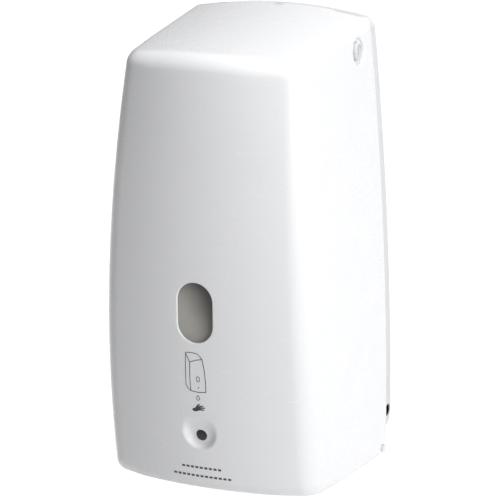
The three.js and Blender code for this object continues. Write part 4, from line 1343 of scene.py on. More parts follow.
def smooth_loop(points, steps=5):
    """A closed curve through the given corners."""
    p = np.array(points, dtype=float)
    loop = []
    for i in range(len(p)):
        a, b, c, d = p[i - 1], p[i], p[(i + 1) % len(p)], p[(i + 2) % len(p)]
        for k in range(steps):
            t = k / steps
            spot = 2 * b + (c - a) * t + (2 * a - 5 * b + 4 * c - d) * t**2
            loop.append(tuple((spot + (3 * b - a - 3 * c + d) * t**3) / 2))
    return loop


def flat_mark(shell, outline):
    """A printed patch on the front face."""

    def lay(u, v, h):
        return (u, front_y(u, v, 0) + PRINT_SUNK - h, v)

    slab(shell, outline, (), 0.0, PRINT_SUNK + PRINT_PROUD, 0.01, lay)


BOX_SIGN = ((-4.4, 61.6), (0.0, 61.1), (5.1, 61.6), (5.2, 67.7), (4.6, 75.5), (3.5, 81.5),
            (-0.6, 80.6), (-4.4, 79.0), (-4.7, 70.0))
SIDE_SIGN = ((-4.4, 79.0), (-5.7, 81.7), (-6.9, 84.7), (-7.3, 75.0), (-7.4, 65.0), (-6.2, 62.9),
             (-4.4, 61.6))
TOP_SIGN = ((-6.9, 84.7), (-3.4, 85.0), (0.3, 84.6), (2.2, 83.2), (3.5, 81.5))
HAND_SIGN = ((-4.0, 50.6), (-2.2, 51.4), (-0.9, 53.2), (0.6, 54.0), (0.9, 53.4), (0.1, 52.6),
             (2.6, 53.2), (2.9, 52.6), (1.0, 52.0), (3.9, 52.1), (4.0, 51.5), (1.2, 51.1),
             (3.3, 50.7), (3.2, 50.1), (0.6, 50.0), (-1.4, 49.2), (-3.6, 49.3))
DASH_ROWS = ((13.6, 9), (8.2, 13))
DASH_PITCH, DASH_HALF, DASH_WIDTH, DASH_MIDDLE = 2.9, 0.95, 1.25, -1.0
DROP_SIGN = ((0.0, 59.2), (0.75, 57.9), (0.95, 57.2), (0.6, 56.5), (0.0, 56.2), (-0.6, 56.5),
             (-0.95, 57.2), (-0.75, 57.9))


def add_marks():
    """The printed sign: a box, a drop and a hand, with two rows of plain dashes below."""
    width = sizes().print_width / MM
    shell = Shell()
    ribbon(shell, subdivided(BOX_SIGN, True), width, True)
    ribbon(shell, subdivided(SIDE_SIGN), width * 0.9)
    ribbon(shell, subdivided(TOP_SIGN), width * 0.9)
    eye = [(0.5 + 1.0 * math.cos(a), 69.1 + 1.55 * math.sin(a)) for a in np.linspace(0, TAU, 25)]
    ribbon(shell, eye[:-1], width * 0.85, True)
    flat_mark(shell, circle(0.6, 63.9, 0.42, 16))
    ribbon(shell, smooth_loop(DROP_SIGN, 3), width * 0.85, True)
    flat_mark(shell, smooth_loop(HAND_SIGN, 3))
    for z, count in DASH_ROWS:
        for i in range(count):
            x = DASH_MIDDLE + (i - (count - 1) / 2) * DASH_PITCH
            ribbon(shell, ((x - DASH_HALF, z), (x, z), (x + DASH_HALF, z)), DASH_WIDTH)
    return as_piece(shell, "printed_marks", "cover", "dark_plastic", "ink", even=False)


# ------------------------------------------------------------------ the back plate

PLATE_INSET = 1.0
PLATE_BOTTOM = 12.0
PLATE_CHAMFER = 8.0
PLATE_FLOOR = 3.0
PLATE_WALL = 3.6
SLOT_PLACES = [(side * 40.0, z) for z in (95.0, 215.0) for side in (-1, 1)]
JACK_Y, JACK_Z, JACK_RADIUS = -4.7, 26.2, 3.6
CASE_POSTS = ((-46, 19), (46, 19), (-46, 73), (46, 73))


def plate_outline(y=-9.0):
    """The plate's outline in (across, up), counter-clockwise."""
    inset, edge = PLATE_INSET, 6.0
    low_x = through(RIM_HALF_WIDTH, 0) - inset
    right = [(low_x - PLATE_CHAMFER * 0.5 - 3.0, PLATE_BOTTOM)]
    start = np.array([low_x - PLATE_CHAMFER * 0.5, PLATE_BOTTOM])
    end = np.array([low_x - 0.3, PLATE_BOTTOM + PLATE_CHAMFER])
    before, after = np.array([start[0] - 3.0, start[1]]), np.array([end[0], end[1] + 5.0])
    middle = (start + end) / 2
    for first, corner, last in ((before, start, middle), (middle, end, after)):
        for t in np.linspace(0.25, 1.0, 5):
            p = (1 - t) ** 2 * first + 2 * t * (1 - t) * corner + t * t * last
            right.append(tuple(p))
    for share in np.linspace(0.12, 1.0, 24):
        x = through(RIM_HALF_WIDTH, share * TOP_SHARE) - inset
        right.append((x, share * (roof_height(x, y) - edge)))
    top_x = through(RIM_HALF_WIDTH, TOP_SHARE) - inset
    for a in np.linspace(TAU / 4 / 8, TAU / 4, 8):
        x = top_x - edge * (1 - math.cos(a))
        right.append((x, roof_height(x, y) - inset - edge * (1 - math.sin(a))))
    for x in (42.0, 32.0, 22.0, 11.0):
        right.append((x, roof_height(x, y) - inset))
    left = [(-x, z) for x, z in reversed(right)]
    return right + [(0.0, roof_height(0.0, y) - inset)] + left


def add_plate():
    """The tray that is screwed to the wall, with its lip, slots, rails, posts and hinge ears."""
    shell = Shell()
    outline = plate_outline()
    edge = sizes().plate_edge / MM
    rim_y = RIM_Y + 0.35
    lip_y = -15.0
    lift = ROOF_SLOPE * (RIM_Y - lip_y) / HEIGHT

    def ring(inset, y, drop=0.0):
        return [(u, y, v * (1 - drop)) for u, v in grown(outline, -inset)]

    lip_inset = 2.5 + 0.6 - PLATE_INSET
    rows = [ring(drawn, -gone) for drawn, gone in quarter(edge, np.linspace(0, TAU / 4, 4))]
    rows += [ring(drawn, rim_y + gone)
             for drawn, gone in quarter(edge, np.linspace(TAU / 4, 0, 4))]
    rows += [ring(lip_inset - 0.3, rim_y), ring(lip_inset, rim_y - 0.3)]
    rows += [ring(lip_inset, lip_y + 0.4, lift), ring(lip_inset + 0.4, lip_y, lift)]
    rows += [ring(PLATE_WALL - 0.4, lip_y, lift), ring(PLATE_WALL, lip_y + 0.4, lift)]
    rows += [ring(PLATE_WALL, -PLATE_FLOOR - 1.0), ring(PLATE_WALL + 0.3, -PLATE_FLOOR - 0.3)]
    rows += [ring(PLATE_WALL + 1.0, -PLATE_FLOOR)]
    made = shell.rows(rows)
    slots = [rounded_rectangle(x - 2.5, x + 2.5, z - 5.0, z + 5.0, 2.499, 8)
             for x, z in SLOT_PLACES]
    slot_rings = []
    for slot in slots:
        sink = [(0.5, -PLATE_FLOOR), (0.15, -PLATE_FLOOR + 0.15), (0.0, -PLATE_FLOOR + 0.5),
                (0.0, -0.3), (0.3, 0.0)]
        slot_rings.append(shell.rows([[(u, y, v) for u, v in grown(slot, out)] for out, y in sink]))
    faces = ((edge, 0.0, made[0], -1), (PLATE_WALL + 1.0, -PLATE_FLOOR, made[-1], 0))
    for inset, y, outer, k in faces:
        grow = 0.5 if k == 0 else 0.3
        holes = [(grown(slot, grow), rings[k]) for slot, rings in zip(slots, slot_rings)]
        fill_face(shell, [(grown(outline, -inset), outer), *holes], lambda u, v: (u, y, v))
    plate = wall_piece(shell, "wall_plate", "plate_white", ["back_plate"])
    hole = bar(JACK_RADIUS + 0.3, 55.0, 90.0, (0.0, JACK_Y, JACK_Z), "x")
    carved(plate, hole)
    parts = Shell()
    for x, z in CASE_POSTS:
        profile = washer(1.5, 4.0, PLATE_FLOOR - 0.4, 17.1, 0.4)
        turned(parts, profile, (x, 0.0, z), "y", 32)
    for side in (-1, 1):
        x = side * 52.6
        block(parts, (x - 1.1, x + 1.1), (-34.0, -PLATE_FLOOR + 0.4), (90.0, 200.0), 0.4)
        for z in (110.0, 145.0, 180.0):
            block(parts, (x + side * 1.0 - 1.0, x + side * 1.0 + 1.0),
                  (-20.0, -PLATE_FLOOR + 0.4), (z - 0.8, z + 0.8), 0.3)
    for z in (128.0, 160.0, 192.0):
        block(parts, (-30.0, 30.0), (-5.4, -PLATE_FLOOR + 0.4), (z - 0.9, z + 0.9), 0.3)
    for side in (-1, 1):
        x = side * 62.25
        ear = [(-0.8, 30.0), (-17.0, 30.0), (-19.0, 28.0), (-19.0, 4.4), (-17.4, 1.9),
               (-11.6, 1.9), (-10.5, 4.4), (-10.5, 11.6), (-0.8, 14.0)]
        hole = circle(HINGE_Y, HINGE_Z, PIN_HOLE, 28)
        slab(parts, ear[::-1], [hole], x - 2.25, x + 2.25, 0.4, on_side)
    return [plate, wall_piece(parts, "plate_ribs", "plate_white")]


def add_plate_fittings():
    """The lock's keeper, the two hinge pins and the power socket."""
    keeper = Shell()
    hook = [(-PLATE_FLOOR - 0.5, 228.0), (-PLATE_FLOOR - 0.5, 231.8), (-33.2, 231.8),
            (-33.4, 237.6), (-36.0, 238.0), (-36.0, 228.0)]
    slab(keeper, hook, (), 43.0, 47.0, 0.35, on_side)
    foot = rounded_rectangle(38.0, 52.0, 224.0, 236.0, 1.5, 4)
    slab(keeper, foot, (), PLATE_FLOOR + 0.3, PLATE_FLOOR + 3.3, 0.5)
    made = [wall_piece(keeper, "lock_hook", "plate_white", ["lock_keeper"])]
    for name in ("hinge_pin_left", "hinge_pin_right"):
        low, high = node_box_mm(name)
        pin = bar(1.95, low[0], high[0], (0.0, HINGE_Y, HINGE_Z), "x", 0.4)
        made.append(as_piece(pin, f"{name}_round", "wall_unit", "acetal", "plate_white", [name]))
    jack = Shell()
    low, high = node_box_mm("dc_jack")
    start, end = low[0], high[0]
    profile = [(0.0, start), (3.3, start), (3.6, start + 0.3), (3.6, end - 0.4), (3.45, end - 0.1),
               (3.2, end), (3.0, end - 0.05), (2.75, end - 0.5), (2.75, start + 3.0),
               (1.0, start + 3.0), (1.0, end - 2.6), (0.7, end - 2.2), (0.0, end - 2.1)]
    turned(jack, profile, (0.0, JACK_Y, JACK_Z), "x", 48)
    made.append(wall_piece(jack, "power_socket", "dark_plastic", ["dc_jack"]))
    return made


# ------------------------------------------------------------------ the soap's side

TANK_HALF = 50.0
TANK_BACK = -24.0
TANK_FRONT = -106.0
TANK_BOW = 8.0
TANK_BOTTOM = 82.6
TANK_TOP = 222.0
GRIP_LOW, GRIP_HIGH, GRIP_DEPTH = 118.0, 186.0, 0.9
MOUTH_Y = -60.0
MOUTH_RADIUS = 17.0
NECK_RADIUS = 20.0
OUTLET_Y = -67.0


def tank_loop(inset):
    """The tank's outline in (across, depth), counter-clockwise, at an inset."""
    half, rear, front = TANK_HALF - inset, TANK_BACK - inset, TANK_FRONT + inset
    small, large = max(7.0 - inset, 1.0), max(11.0 - inset, 1.5)
    loop = []
    for cx, cy, radius, start in ((half - small, rear - small, small, 0),
                                  (-half + small, rear - small, small, 90),
                                  (-half + large, front + large, large, 180)):
        loop += arc(np.array([cx, cy]), radius, start, start + 90, 8)
    flat = half - large
    for share in np.linspace(-1, 1, 25)[1:-1]:
        loop.append((share * flat, front - TANK_BOW * (1 - share * share) * 0.98))
    loop += arc(np.array([half - large, front + large]), large, 270, 360, 8)
    return loop


def level_ring(y, radius, z, sides):
    return [(across, depth, z) for across, depth in circle(0.0, y, radius, sides)]


def add_tank():
    """A blow-moulded tank: soft edges, a neck, a spout, grip hollows and a parting seam."""
    shell = Shell()
    edge = 4.0
    rows = []
    bottom, top = TANK_BOTTOM, TANK_TOP

    def ring(inset, z):
        return [(x, y, z) for x, y in tank_loop(inset)]

    bend = quarter(edge, np.linspace(0, TAU / 4, 6))
    rows += [ring(drawn, bottom + rise) for drawn, rise in bend]
    low, high = GRIP_LOW, GRIP_HIGH
    for z in np.linspace(bottom + edge, top - edge, 36)[1:]:
        waist = 0.0
        if low < z < high:
            waist = GRIP_DEPTH * math.sin(math.pi * (z - low) / (high - low)) ** 0.5
        rows.append(ring(waist, z))
    rows += [ring(drawn, top - below) for below, drawn in bend[1:]]
    made = shell.rows(rows)
    profile = [(NECK_RADIUS + 1.2, top), (NECK_RADIUS + 0.3, top + 0.3), (NECK_RADIUS, top + 1.2),
               (NECK_RADIUS, top + 7.4), (NECK_RADIUS - 0.5, top + 8.0),
               (MOUTH_RADIUS + 0.5, top + 8.0), (MOUTH_RADIUS, top + 7.5),
               (MOUTH_RADIUS, top - 2.4), (MOUTH_RADIUS + 0.6, top - 3.4)]
    neck_rows = shell.rows([level_ring(MOUTH_Y, radius, z, 64) for radius, z in profile])
    profile = [(8.2, bottom), (7.3, bottom - 0.3), (7.0, bottom - 1.0), (7.0, bottom - 4.5),
               (6.5, bottom - 5.0), (4.9, bottom - 5.0), (4.4, bottom - 4.5), (4.4, bottom + 2.0),
               (5.0, bottom + 2.6)]
    spout_rows = shell.rows([level_ring(OUTLET_Y, radius, z, 48) for radius, z in profile])
    close_flat(shell, made[-1], neck_rows[0])
    close_flat(shell, made[0], spout_rows[0])
    inner = [ring(5.0, bottom + 2.6), ring(3.2, bottom + 3.2), ring(2.4, bottom + 5.0)]
    inner += [ring(2.4, z) for z in np.linspace(bottom + 8.0, top - 8.0, 10)]
    inner += [ring(2.4, top - 6.0), ring(3.4, top - 4.0), ring(5.2, top - 3.4)]
    inner_rows = shell.rows(inner)
    close_flat(shell, inner_rows[-1], neck_rows[-1])
    close_flat(shell, inner_rows[0], spout_rows[-1])
    seam = Shell()
    path = [(-TANK_HALF + 0.35, -58.0, z) for z in np.linspace(bottom + 6, top - 6, 12)]
    seam_side(seam, path)
    seam_side(seam, [(-x, y, z) for x, y, z in path])
    tank = as_piece(shell, "milky_tank", "tank", "tank_plastic", "tank_plastic", ["soap_tank"])
    rib = as_piece(seam, "tank_seam", "tank", "tank_plastic", "tank_plastic", even=False)
    return [tank, rib]


SEAM_DEPTH, SEAM_PROUD = 1.6, 0.15


def seam_side(shell, path):
    """A thin parting line up one side of the tank."""
    rows = []
    for x, y, z in path:
        out = math.copysign(1.0, x)
        foot, crest = x - SEAM_DEPTH * out, x + SEAM_PROUD * out
        rows.append([(foot, y - 0.5, z), (crest, y, z), (foot, y + 0.5, z)])
    made = shell.rows(rows)
    shell.fan(made[0])
    shell.fan(made[-1], flip=True)


def close_flat(shell, outer, hole):
    """Fills the level ring between an outer loop and a hole of corners already made."""
    height = shell.points[outer[0]][2]
    rings = [([shell.points[i][:2] for i in ids], ids) for ids in (outer, hole)]
    fill_face(shell, rings, lambda u, v: (u, v, height))


def add_cap():
    """The quarter-turn cap: a drum with fine grip ribs, eight lugs and a raised bar on top."""
    shell = Shell()
    base, top, radius, sides = TANK_TOP + 2.0, TANK_TOP + 14.0, 23.0, 192
    lugs = 8

    def ring(reach, z, rib):
        row = []
        for i in range(sides):
            a = TAU * i / sides
            lug = max(0.0, math.cos(lugs * a) - 0.86) / 0.14
            fine = 0.18 * (0.5 + 0.5 * math.cos(64 * a))
            r = reach + rib * (0.95 * min(1.0, lug * 1.6) - fine)
            row.append((r * math.cos(a), MOUTH_Y + r * math.sin(a), z))
        return row

    rows = [ring(radius - 2.4, base, 0), ring(radius - 0.4, base, 0), ring(radius, base + 0.4, 0.6)]
    rows += [ring(radius, z, 1.0) for z in np.linspace(base + 1.0, top - 1.8, 5)]
    rows += [ring(radius - 0.25, top - 0.9, 0.5), ring(radius - 0.9, top - 0.3, 0.0),
             ring(radius - 2.0, top, 0.0), ring(16.4, top, 0), ring(16.0, top - 0.3, 0),
             ring(15.6, top - 1.1, 0), ring(15.2, top - 1.3, 0), ring(8.0, top - 1.3, 0)]
    rows += [ring(0.05, top - 1.3, 0)]
    made = shell.rows(rows)
    shell.fan(made[-1], flip=True)
    inner = [ring(radius - 2.4, base, 0), ring(radius - 2.4, top - 3.4, 0),
             ring(radius - 2.9, top - 2.9, 0), ring(0.05, top - 2.9, 0)]
    inner_rows = shell.rows(inner)
    shell.fan(inner_rows[-1])
    block(shell, (-13.5, 13.5), (MOUTH_Y - 2.2, MOUTH_Y + 2.2), (top - 1.6, top - 0.05), 0.5, 2.0)
    return as_piece(shell, "filler_cap", "cap", "inner_plastic", "inner_plastic", ["tank_cap"])


def add_seat_and_nozzle():
    seat = Shell()
    low, high = node_box_mm("tank_seat")
    floor = high[2] - 10.0
    profile = [(0.0, low[2]), (1.2, low[2]), (1.5, low[2] + 0.3), (1.5, floor - 0.2),
               (1.9, floor), (9.5, floor), (9.8, floor + 0.4), (9.8, high[2] - 0.4),
               (9.4, high[2]), (9.3, high[2] - 0.1), (9.05, high[2] - 0.6), (9.05, floor + 2.4),
               (8.6, floor + 2.0), (0.0, floor + 2.0)]
    turned(seat, [(r, z) for r, z in profile], (0.0, OUTLET_Y, 0.0), "z", 48)
    made = [wall_piece(seat, "seat_cup", "acetal", ["tank_seat"])]
    nozzle = Shell()
    base = 6.0
    profile = [(0.8, base), (3.1, base), (3.4, base + 0.3), (4.5, base + 7.7), (4.7, 10.4 + 3.4),
               (4.8, 14.0), (4.5, 14.3), (1.6, 14.4), (1.3, 14.8), (1.3, 19.6), (1.1, 20.0),
               (0.8, 20.0)]
    turned(nozzle, profile, (0.0, OUTLET_Y, 0.0), "z", 48)
    turned(nozzle, washer(4.9, 7.9, 10.5, 12.0, 0.3), (0.0, OUTLET_Y, 0.0), "z", 48)
    made.append(wall_piece(nozzle, "spout", "acetal", ["nozzle"]))
    tip = Shell()
    profile = [(0.8, 2.6), (0.95, 2.4), (2.6, 2.4), (3.0, 2.7), (4.25, 5.3), (4.15, 5.6),
               (0.95, 5.6), (0.8, 5.4)]
    turned(tip, profile, (0.0, OUTLET_Y, 0.0), "z", 48)
    made.append(wall_piece(tip, "spout_tip", "silicone", ["nozzle_tip"]))
    return made


# ------------------------------------------------------------------ the drive case

CASE_HALF = 54.0
CASE_BACK = -20.0
CASE_FRONT = -88.0
PANEL_FRONT = -100.0
SNOUT_FRONT = -106.5
CASE_LOW, CASE_HIGH = 8.0, 82.0
CASE_WALL = 2.2
BUTTON_PLACE = (-38.0, 0.0, 42.0)
PANEL_SCREWS = ((-49.5, 14.0), (-49.5, 76.5), (12.5, 14.0), (12.5, 76.5))


def tray(shell, outline, depth_open, depth_shut, wall, edge):
    """An open box: walls of one thickness round an outline, shut at one depth."""
    way = math.copysign(1.0, depth_shut - depth_open)

    def ring(inset, y):
        return [(u, y, v) for u, v in grown(outline, -inset)]

    rows = [ring(wall - 0.25, depth_open), ring(0.25, depth_open), ring(0, depth_open + 0.25 * way)]
    rows += [ring(drawn, depth_shut - way * short)
             for short, drawn in quarter(edge, np.linspace(0, TAU / 4, 5))]
    made = shell.rows(rows)
    inner = [ring(wall - 0.25, depth_open), ring(wall, depth_open + 0.25 * way),
             ring(wall, depth_shut - way * (wall + 0.5)), ring(wall + 0.5, depth_shut - way * wall)]
    inner_rows = shell.rows(inner)
    for row, y in ((made[-1], depth_shut), (inner_rows[-1], depth_shut - way * wall)):
        flat = [(shell.points[i][0], shell.points[i][2]) for i in row]
        fill_face(shell, [(flat, row)], lambda u, v: (u, y, v))


def case_outline():
    return rounded_rectangle(-CASE_HALF, CASE_HALF, CASE_LOW, CASE_HIGH, 2.4, 6)


def add_case():
    """The rear half of the drive case, with ribs on its sides."""
    shell = Shell()
    tray(shell, case_outline(), CASE_FRONT, CASE_BACK, CASE_WALL, 1.2)
    case = inner_piece(shell, "case_body", ["drive_case"])
    seat = bar(10.5, CASE_HIGH - 6, CASE_HIGH + 4, (0.0, OUTLET_Y, 0.0), "z", sides=48)
    spout = bar(6.0, CASE_LOW - 1, CASE_LOW + 5, (0.0, OUTLET_Y, 0.0), "z", sides=40)
    carved(case, seat, spout)
    ribs = Shell()
    for side in (-1, 1):
        for z in (24.0, 38.0, 52.0, 66.0):
            x = side * (CASE_HALF - 0.15)
            block(ribs, (x - 0.3, x + 0.3), (-84.0, -24.0), (z - 0.6, z + 0.6), 0.2)
    collar = washer(10.6, 12.4, CASE_HIGH - 0.4, CASE_HIGH + 0.25, 0.2)
    turned(ribs, collar, (0.0, OUTLET_Y, 0.0), "z", 48)
    for x, z in CASE_POSTS:
        turned(ribs, washer(1.9, 4.6, 17.6, 20.4, 0.3), (x, 0.0, z), "y", 32)
    return [case, inner_piece(ribs, "case_ribs")]


def add_panel():
    """The front panel: a tray with the sensor's snout, screw bosses and openings."""
    shell = Shell()
    tray(shell, case_outline(), CASE_FRONT - 0.3, PANEL_FRONT, CASE_WALL, 1.4)
    panel = inner_piece(shell, "case_panel", ["drive_panel"])
    cuts = []
    for x0, x1, z0, z1, radius in ((18.5, 49.5, 20.0, 71.5, 1.5), (-43.0, -33.0, 60.0, 64.0, 0.6),
                                   (-12.6, 12.6, 27.4, 47.6, 1.0)):
        cutter = Shell()
        slab(cutter, rounded_rectangle(x0, x1, z0, z1, radius, 4), (), 90.0, 106.0, 0.05)
        cuts.append(cutter)
    cuts.append(bar(4.3, 90.0, 106.0, BUTTON_PLACE, "y", sides=40))
    cuts += [bar(1.6, 80.0, 106.0, (x, 0.0, z), "y", sides=24) for x, z in PANEL_SCREWS]
    carved(panel, *cuts)
    snout = Shell()
    outline = rounded_rectangle(-15.0, 15.0, 25.0, 50.0, 2.2, 6)
    tray(snout, outline, PANEL_FRONT + 0.4, SNOUT_FRONT, 1.8, 1.6)
    nose = inner_piece(snout, "sensor_snout")
    sight = bar(5.0, -6.0, 14.0, (0.0, 0.0, 0.0), "y", sides=40)
    leaning(sight, SENSOR_TILT, (0.0, -104.5, 38.0))
    carved(nose, sight)
    trims = Shell()
    for x, z in PANEL_SCREWS:
        turned(trims, washer(1.7, 3.4, 88.6, 100.35, 0.25), (x, 0.0, z), "y", 32)
    turned(trims, washer(4.4, 6.2, 99.8, 100.5, 0.25), BUTTON_PLACE, "y", 40)
    switch_rim = rounded_rectangle(-45.0, -31.0, 57.6, 66.4, 1.4, 5)
    hole = rounded_rectangle(-43.2, -32.8, 59.8, 64.2, 0.7, 4)
    slab(trims, switch_rim, [hole], 99.8, 100.4, 0.2)
    for z in (30.0, 33.0, 70.0):
        block(trims, (-47.0, -29.0), (-100.3, -99.7), (z - 0.4, z + 0.4), 0.15)
    return [panel, nose, inner_piece(trims, "panel_trims")]


def add_controls():
    """The battery door with its grips, the switch knob and the dose button."""
    door = Shell()
    low, high = node_box_mm("battery_door")
    outline = rounded_rectangle(low[0], high[0], low[2], high[2], 2.0, 6)
    top = -low[1] - 0.7
    slab(door, outline, (), -high[1], top, 0.6, back_edge=0.15)
    for z in (39.6, 43.8, 48.0):
        block(door, (24.0, 44.0), (low[1], -top + 0.2), (z - 0.75, z + 0.75), 0.32, 0.7)
    ring = rounded_rectangle(low[0] + 2.6, high[0] - 2.6, low[2] + 2.6, high[2] - 2.6, 1.6, 5)
    hole = grown(ring, -0.9)
    slab(door, ring, [hole], top - 0.2, top + 0.22, 0.15)
    plastic = ("inner_plastic", "inner_plastic")
    made = [as_piece(door, "cell_door", "door", *plastic, ["battery_door"])]
    knob = Shell()
    low, high = node_box_mm("switch_knob")
    block(knob, (low[0], high[0]), (-97.4, high[1]), (low[2], high[2]), 0.3)
    block(knob, (-42.6, -39.4), (low[1], -97.2), (60.4, 63.6), 0.45)
    for x in (-41.9, -41.0, -40.1):
        block(knob, (x - 0.18, x + 0.18), (low[1] - 0.16, low[1] + 0.4), (60.9, 63.1), 0.12)
    plastic = ("dark_plastic", "dark_plastic")
    made.append(as_piece(knob, "slide_knob", "knob", *plastic, ["switch_knob"]))
    button = Shell()
    profile = [(0.0, 95.0), (5.2, 95.0), (5.4, 95.2), (5.4, 96.2), (5.2, 96.4), (4.0, 96.5)]
    profile += [(4.0, 101.0), (3.8, 101.4), (3.4, 101.6), (2.6, 101.52), (1.4, 101.3), (0.0, 101.2)]
    turned(button, profile, BUTTON_PLACE, "y", 48)
    rubber = ("black_rubber", "black_rubber")
    made.append(as_piece(button, "push_button", "button", *rubber, ["dose_button"]))
    return made


SCREW_HEAD = 1.6
SCREW_PITCH = 1.1
SCREW_CROSS = (1.55, 0.33)


def add_screws():
    """Cross-head screws of the case and the panel."""
    made = []
    names = [f"{kind}_screw_{i}" for kind in ("case", "panel") for i in (1, 2, 3, 4)]
    arm, half = SCREW_CROSS
    cross = [(half, half), (half, arm), (-half, arm), (-half, half), (-arm, half), (-arm, -half),
             (-half, -half), (-half, -arm), (half, -arm), (half, -half), (arm, -half), (arm, half)]
    for name in names:
        low, high = node_box_mm(name)
        cx, cz = (low[0] + high[0]) / 2, (low[2] + high[2]) / 2
        radius = (high[0] - low[0]) / 2
        shell = Shell()
        face = circle(cx, cz, radius, 40)
        slot = [(cx + u, cz + v) for u, v in cross]
        end, start = -high[1], -low[1] - SCREW_HEAD
        slab(shell, face, [slot], start + 0.5, -low[1], 0.35, back_edge=0.03)
        turned(shell, bead(radius, start, start + 0.45, 0.05), (cx, 0.0, cz), "y", 40)
        profile = [(0.0, end), (0.5, end + 0.2)]
        turns = max(3, int((start - end) / SCREW_PITCH))
        for k in range(turns):
            z0 = end + 0.4 + (start - end - 0.8) * k / turns
            pitch = (start - end - 0.8) / turns
            profile += [(0.95, z0), (1.2, z0 + pitch * 0.3), (1.2, z0 + pitch * 0.45)]
        profile += [(0.95, start - 0.2), (0.95, start), (0.0, start)]
        turned(shell, profile, (cx, 0.0, cz), "y", 20)
        made.append(wall_piece(shell, f"{name}_head", "steel", [name]))
    return made


# ------------------------------------------------------------------ the other nodes


OTHER_EDGE = 0.18
KEPT_EDGES = {"battery_cell": 0.9, "pump_roller": 0.3, "motor_can": 0.5, "battery_box": 0.4}


def dress_nodes():
    """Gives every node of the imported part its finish, and rounds the ones that stay visible."""
    slots = {row["node"]: row["material_slot"] for row in frame["record"]["subparts"]}
    for node, made in frame["nodes"].items():
        made.data.materials.clear()
        made.data.materials.append(finish(slots[node]))
        modifier = made.modifiers.new("Rounded edges", "BEVEL")
        width = next((w for key, w in KEPT_EDGES.items() if node.startswith(key)), OTHER_EDGE)
        modifier.width = width * MM
        modifier.segments = 2
        modifier.limit_method = "ANGLE"
        modifier.angle_limit = math.radians(40)
        modifier.harden_normals = True
    return len(slots)


# ------------------------------------------------------------------ stage

VIEW_AZIMUTH = math.radians(24.93)
VIEW_ELEVATION = math.radians(14.15)
VIEW_DISTANCE = 1.7066
VIEW_TARGET = Vector((0.00133, -0.055, -0.00518))
VIEW_LENS = 208.99
FLOOR_HEIGHT = -0.95
FLOOR_REACH = 16.0
LAMPS = (
    ("key", (1.35, -0.75, 0.60), (0.0, -0.06, 0.02), 0.9, 23.4, True),
    ("top", (0.25, 0.05, 1.60), (0.0, -0.06, 0.10), 0.6, 14.5, False),
    ("floor light", (-1.8, 4.8, 0.6), (-1.8, 4.8, -1.0), 7.4, 175.0, False),
)
ROOM_LEVEL = 0.06
OVERHEAD_LEVEL = 0.56


def add_floor():
    mesh = bpy.data.meshes.new("floor")
    r = FLOOR_REACH
    corners = [(-r, -r), (r, -r), (r, r), (-r, r)]
    mesh.from_pydata([(x, y, FLOOR_HEIGHT) for x, y in corners], [], [(0, 1, 2, 3)])
    floor = linked("floor", mesh)
    paint = Paint.new_material("Studio floor")
    tone = paint.mix(paint.noise(1.2, 2.0), scaled(colours().floor, 0.985), colours().floor)
    paint.set(Base_Color=tone, Roughness=0.7)
    mesh.materials.append(paint.owner)
    return floor


def add_sky():
    """A pale room that is brighter overhead."""
    world = bpy.data.worlds.new("Studio")
    bpy.context.scene.world = world
    world.use_nodes = True
    paint = Paint(world, "Background")
    facing = paint.node("ShaderNodeTexCoord", output="Generated")
    up = paint.node("ShaderNodeSeparateXYZ", {}, {0: facing}, output="Z")
    level = ROOM_LEVEL + up.step_from(0.05, 0.95) * (OVERHEAD_LEVEL - ROOM_LEVEL)
    paint.set(Color=(1.0, 1.0, 1.0), Strength=level)


def add_lamp(name, place, aim, size, power, mirrored_in_gloss):
    data = bpy.data.lights.new(name, "AREA")
    data.size = size
    data.energy = power
    lamp = linked(name, data)
    lamp.location = place
    lamp.visible_glossy = mirrored_in_gloss
    direction = Vector(aim) - Vector(place)
    lamp.rotation_euler = direction.to_track_quat("-Z", "Y").to_euler()


def add_camera():
    data = bpy.data.cameras.new("view")
    data.lens = VIEW_LENS
    data.sensor_width = 36.0
    data.clip_start, data.clip_end = 0.05, 60.0
    camera = linked("view", data)
    a, e = VIEW_AZIMUTH, VIEW_ELEVATION
    back = Vector((math.sin(a) * math.cos(e), -math.cos(a) * math.cos(e), math.sin(e)))
    camera.location = VIEW_TARGET + back * VIEW_DISTANCE
    camera.rotation_euler = (-back).to_track_quat("-Z", "Y").to_euler()
    bpy.context.scene.camera = camera
    return camera


def add_stage():
    add_floor()
    add_sky()
    for lamp in LAMPS:
        add_lamp(*lamp)
    bpy.context.scene.view_settings.view_transform = "Standard"
    return add_camera()


# ------------------------------------------------------------------ add-on


def done(made):
    """An operator's result; nothing made is an error."""
    if not made:
        raise RuntimeError("nothing was made")
    return {"FINISHED"}


class DISPENSER_OT_nodes(bpy.types.Operator):
    """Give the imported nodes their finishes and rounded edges"""

    bl_idname = "dispenser.nodes"
    bl_label = "Packed nodes"

    def execute(self, context):
        return done(dress_nodes())


class DISPENSER_OT_cover(bpy.types.Operator):
    """Build the cover's shell"""

    bl_idname = "dispenser.cover"
    bl_label = "Cover"

    def execute(self, context):
        return done(add_cover_shell())


class DISPENSER_OT_pane(bpy.types.Operator):
    """Build the pane of the level window"""

    bl_idname = "dispenser.pane"
    bl_label = "Level window"

    def execute(self, context):
        return done(add_pane())


class DISPENSER_OT_lens(bpy.types.Operator):
    """Build the sensor's lens"""

    bl_idname = "dispenser.lens"
    bl_label = "Sensor lens"

    def execute(self, context):
        return done(add_lens())


class DISPENSER_OT_lock(bpy.types.Operator):
    """Build the lock's sleeve and barrel"""

    bl_idname = "dispenser.lock"
    bl_label = "Lock"

    def execute(self, context):
        return done(add_lock())


class DISPENSER_OT_marks(bpy.types.Operator):
    """Build the printed sign and the rows of dashes"""

    bl_idname = "dispenser.marks"
    bl_label = "Printed marks"

    def execute(self, context):
        return done(add_marks())


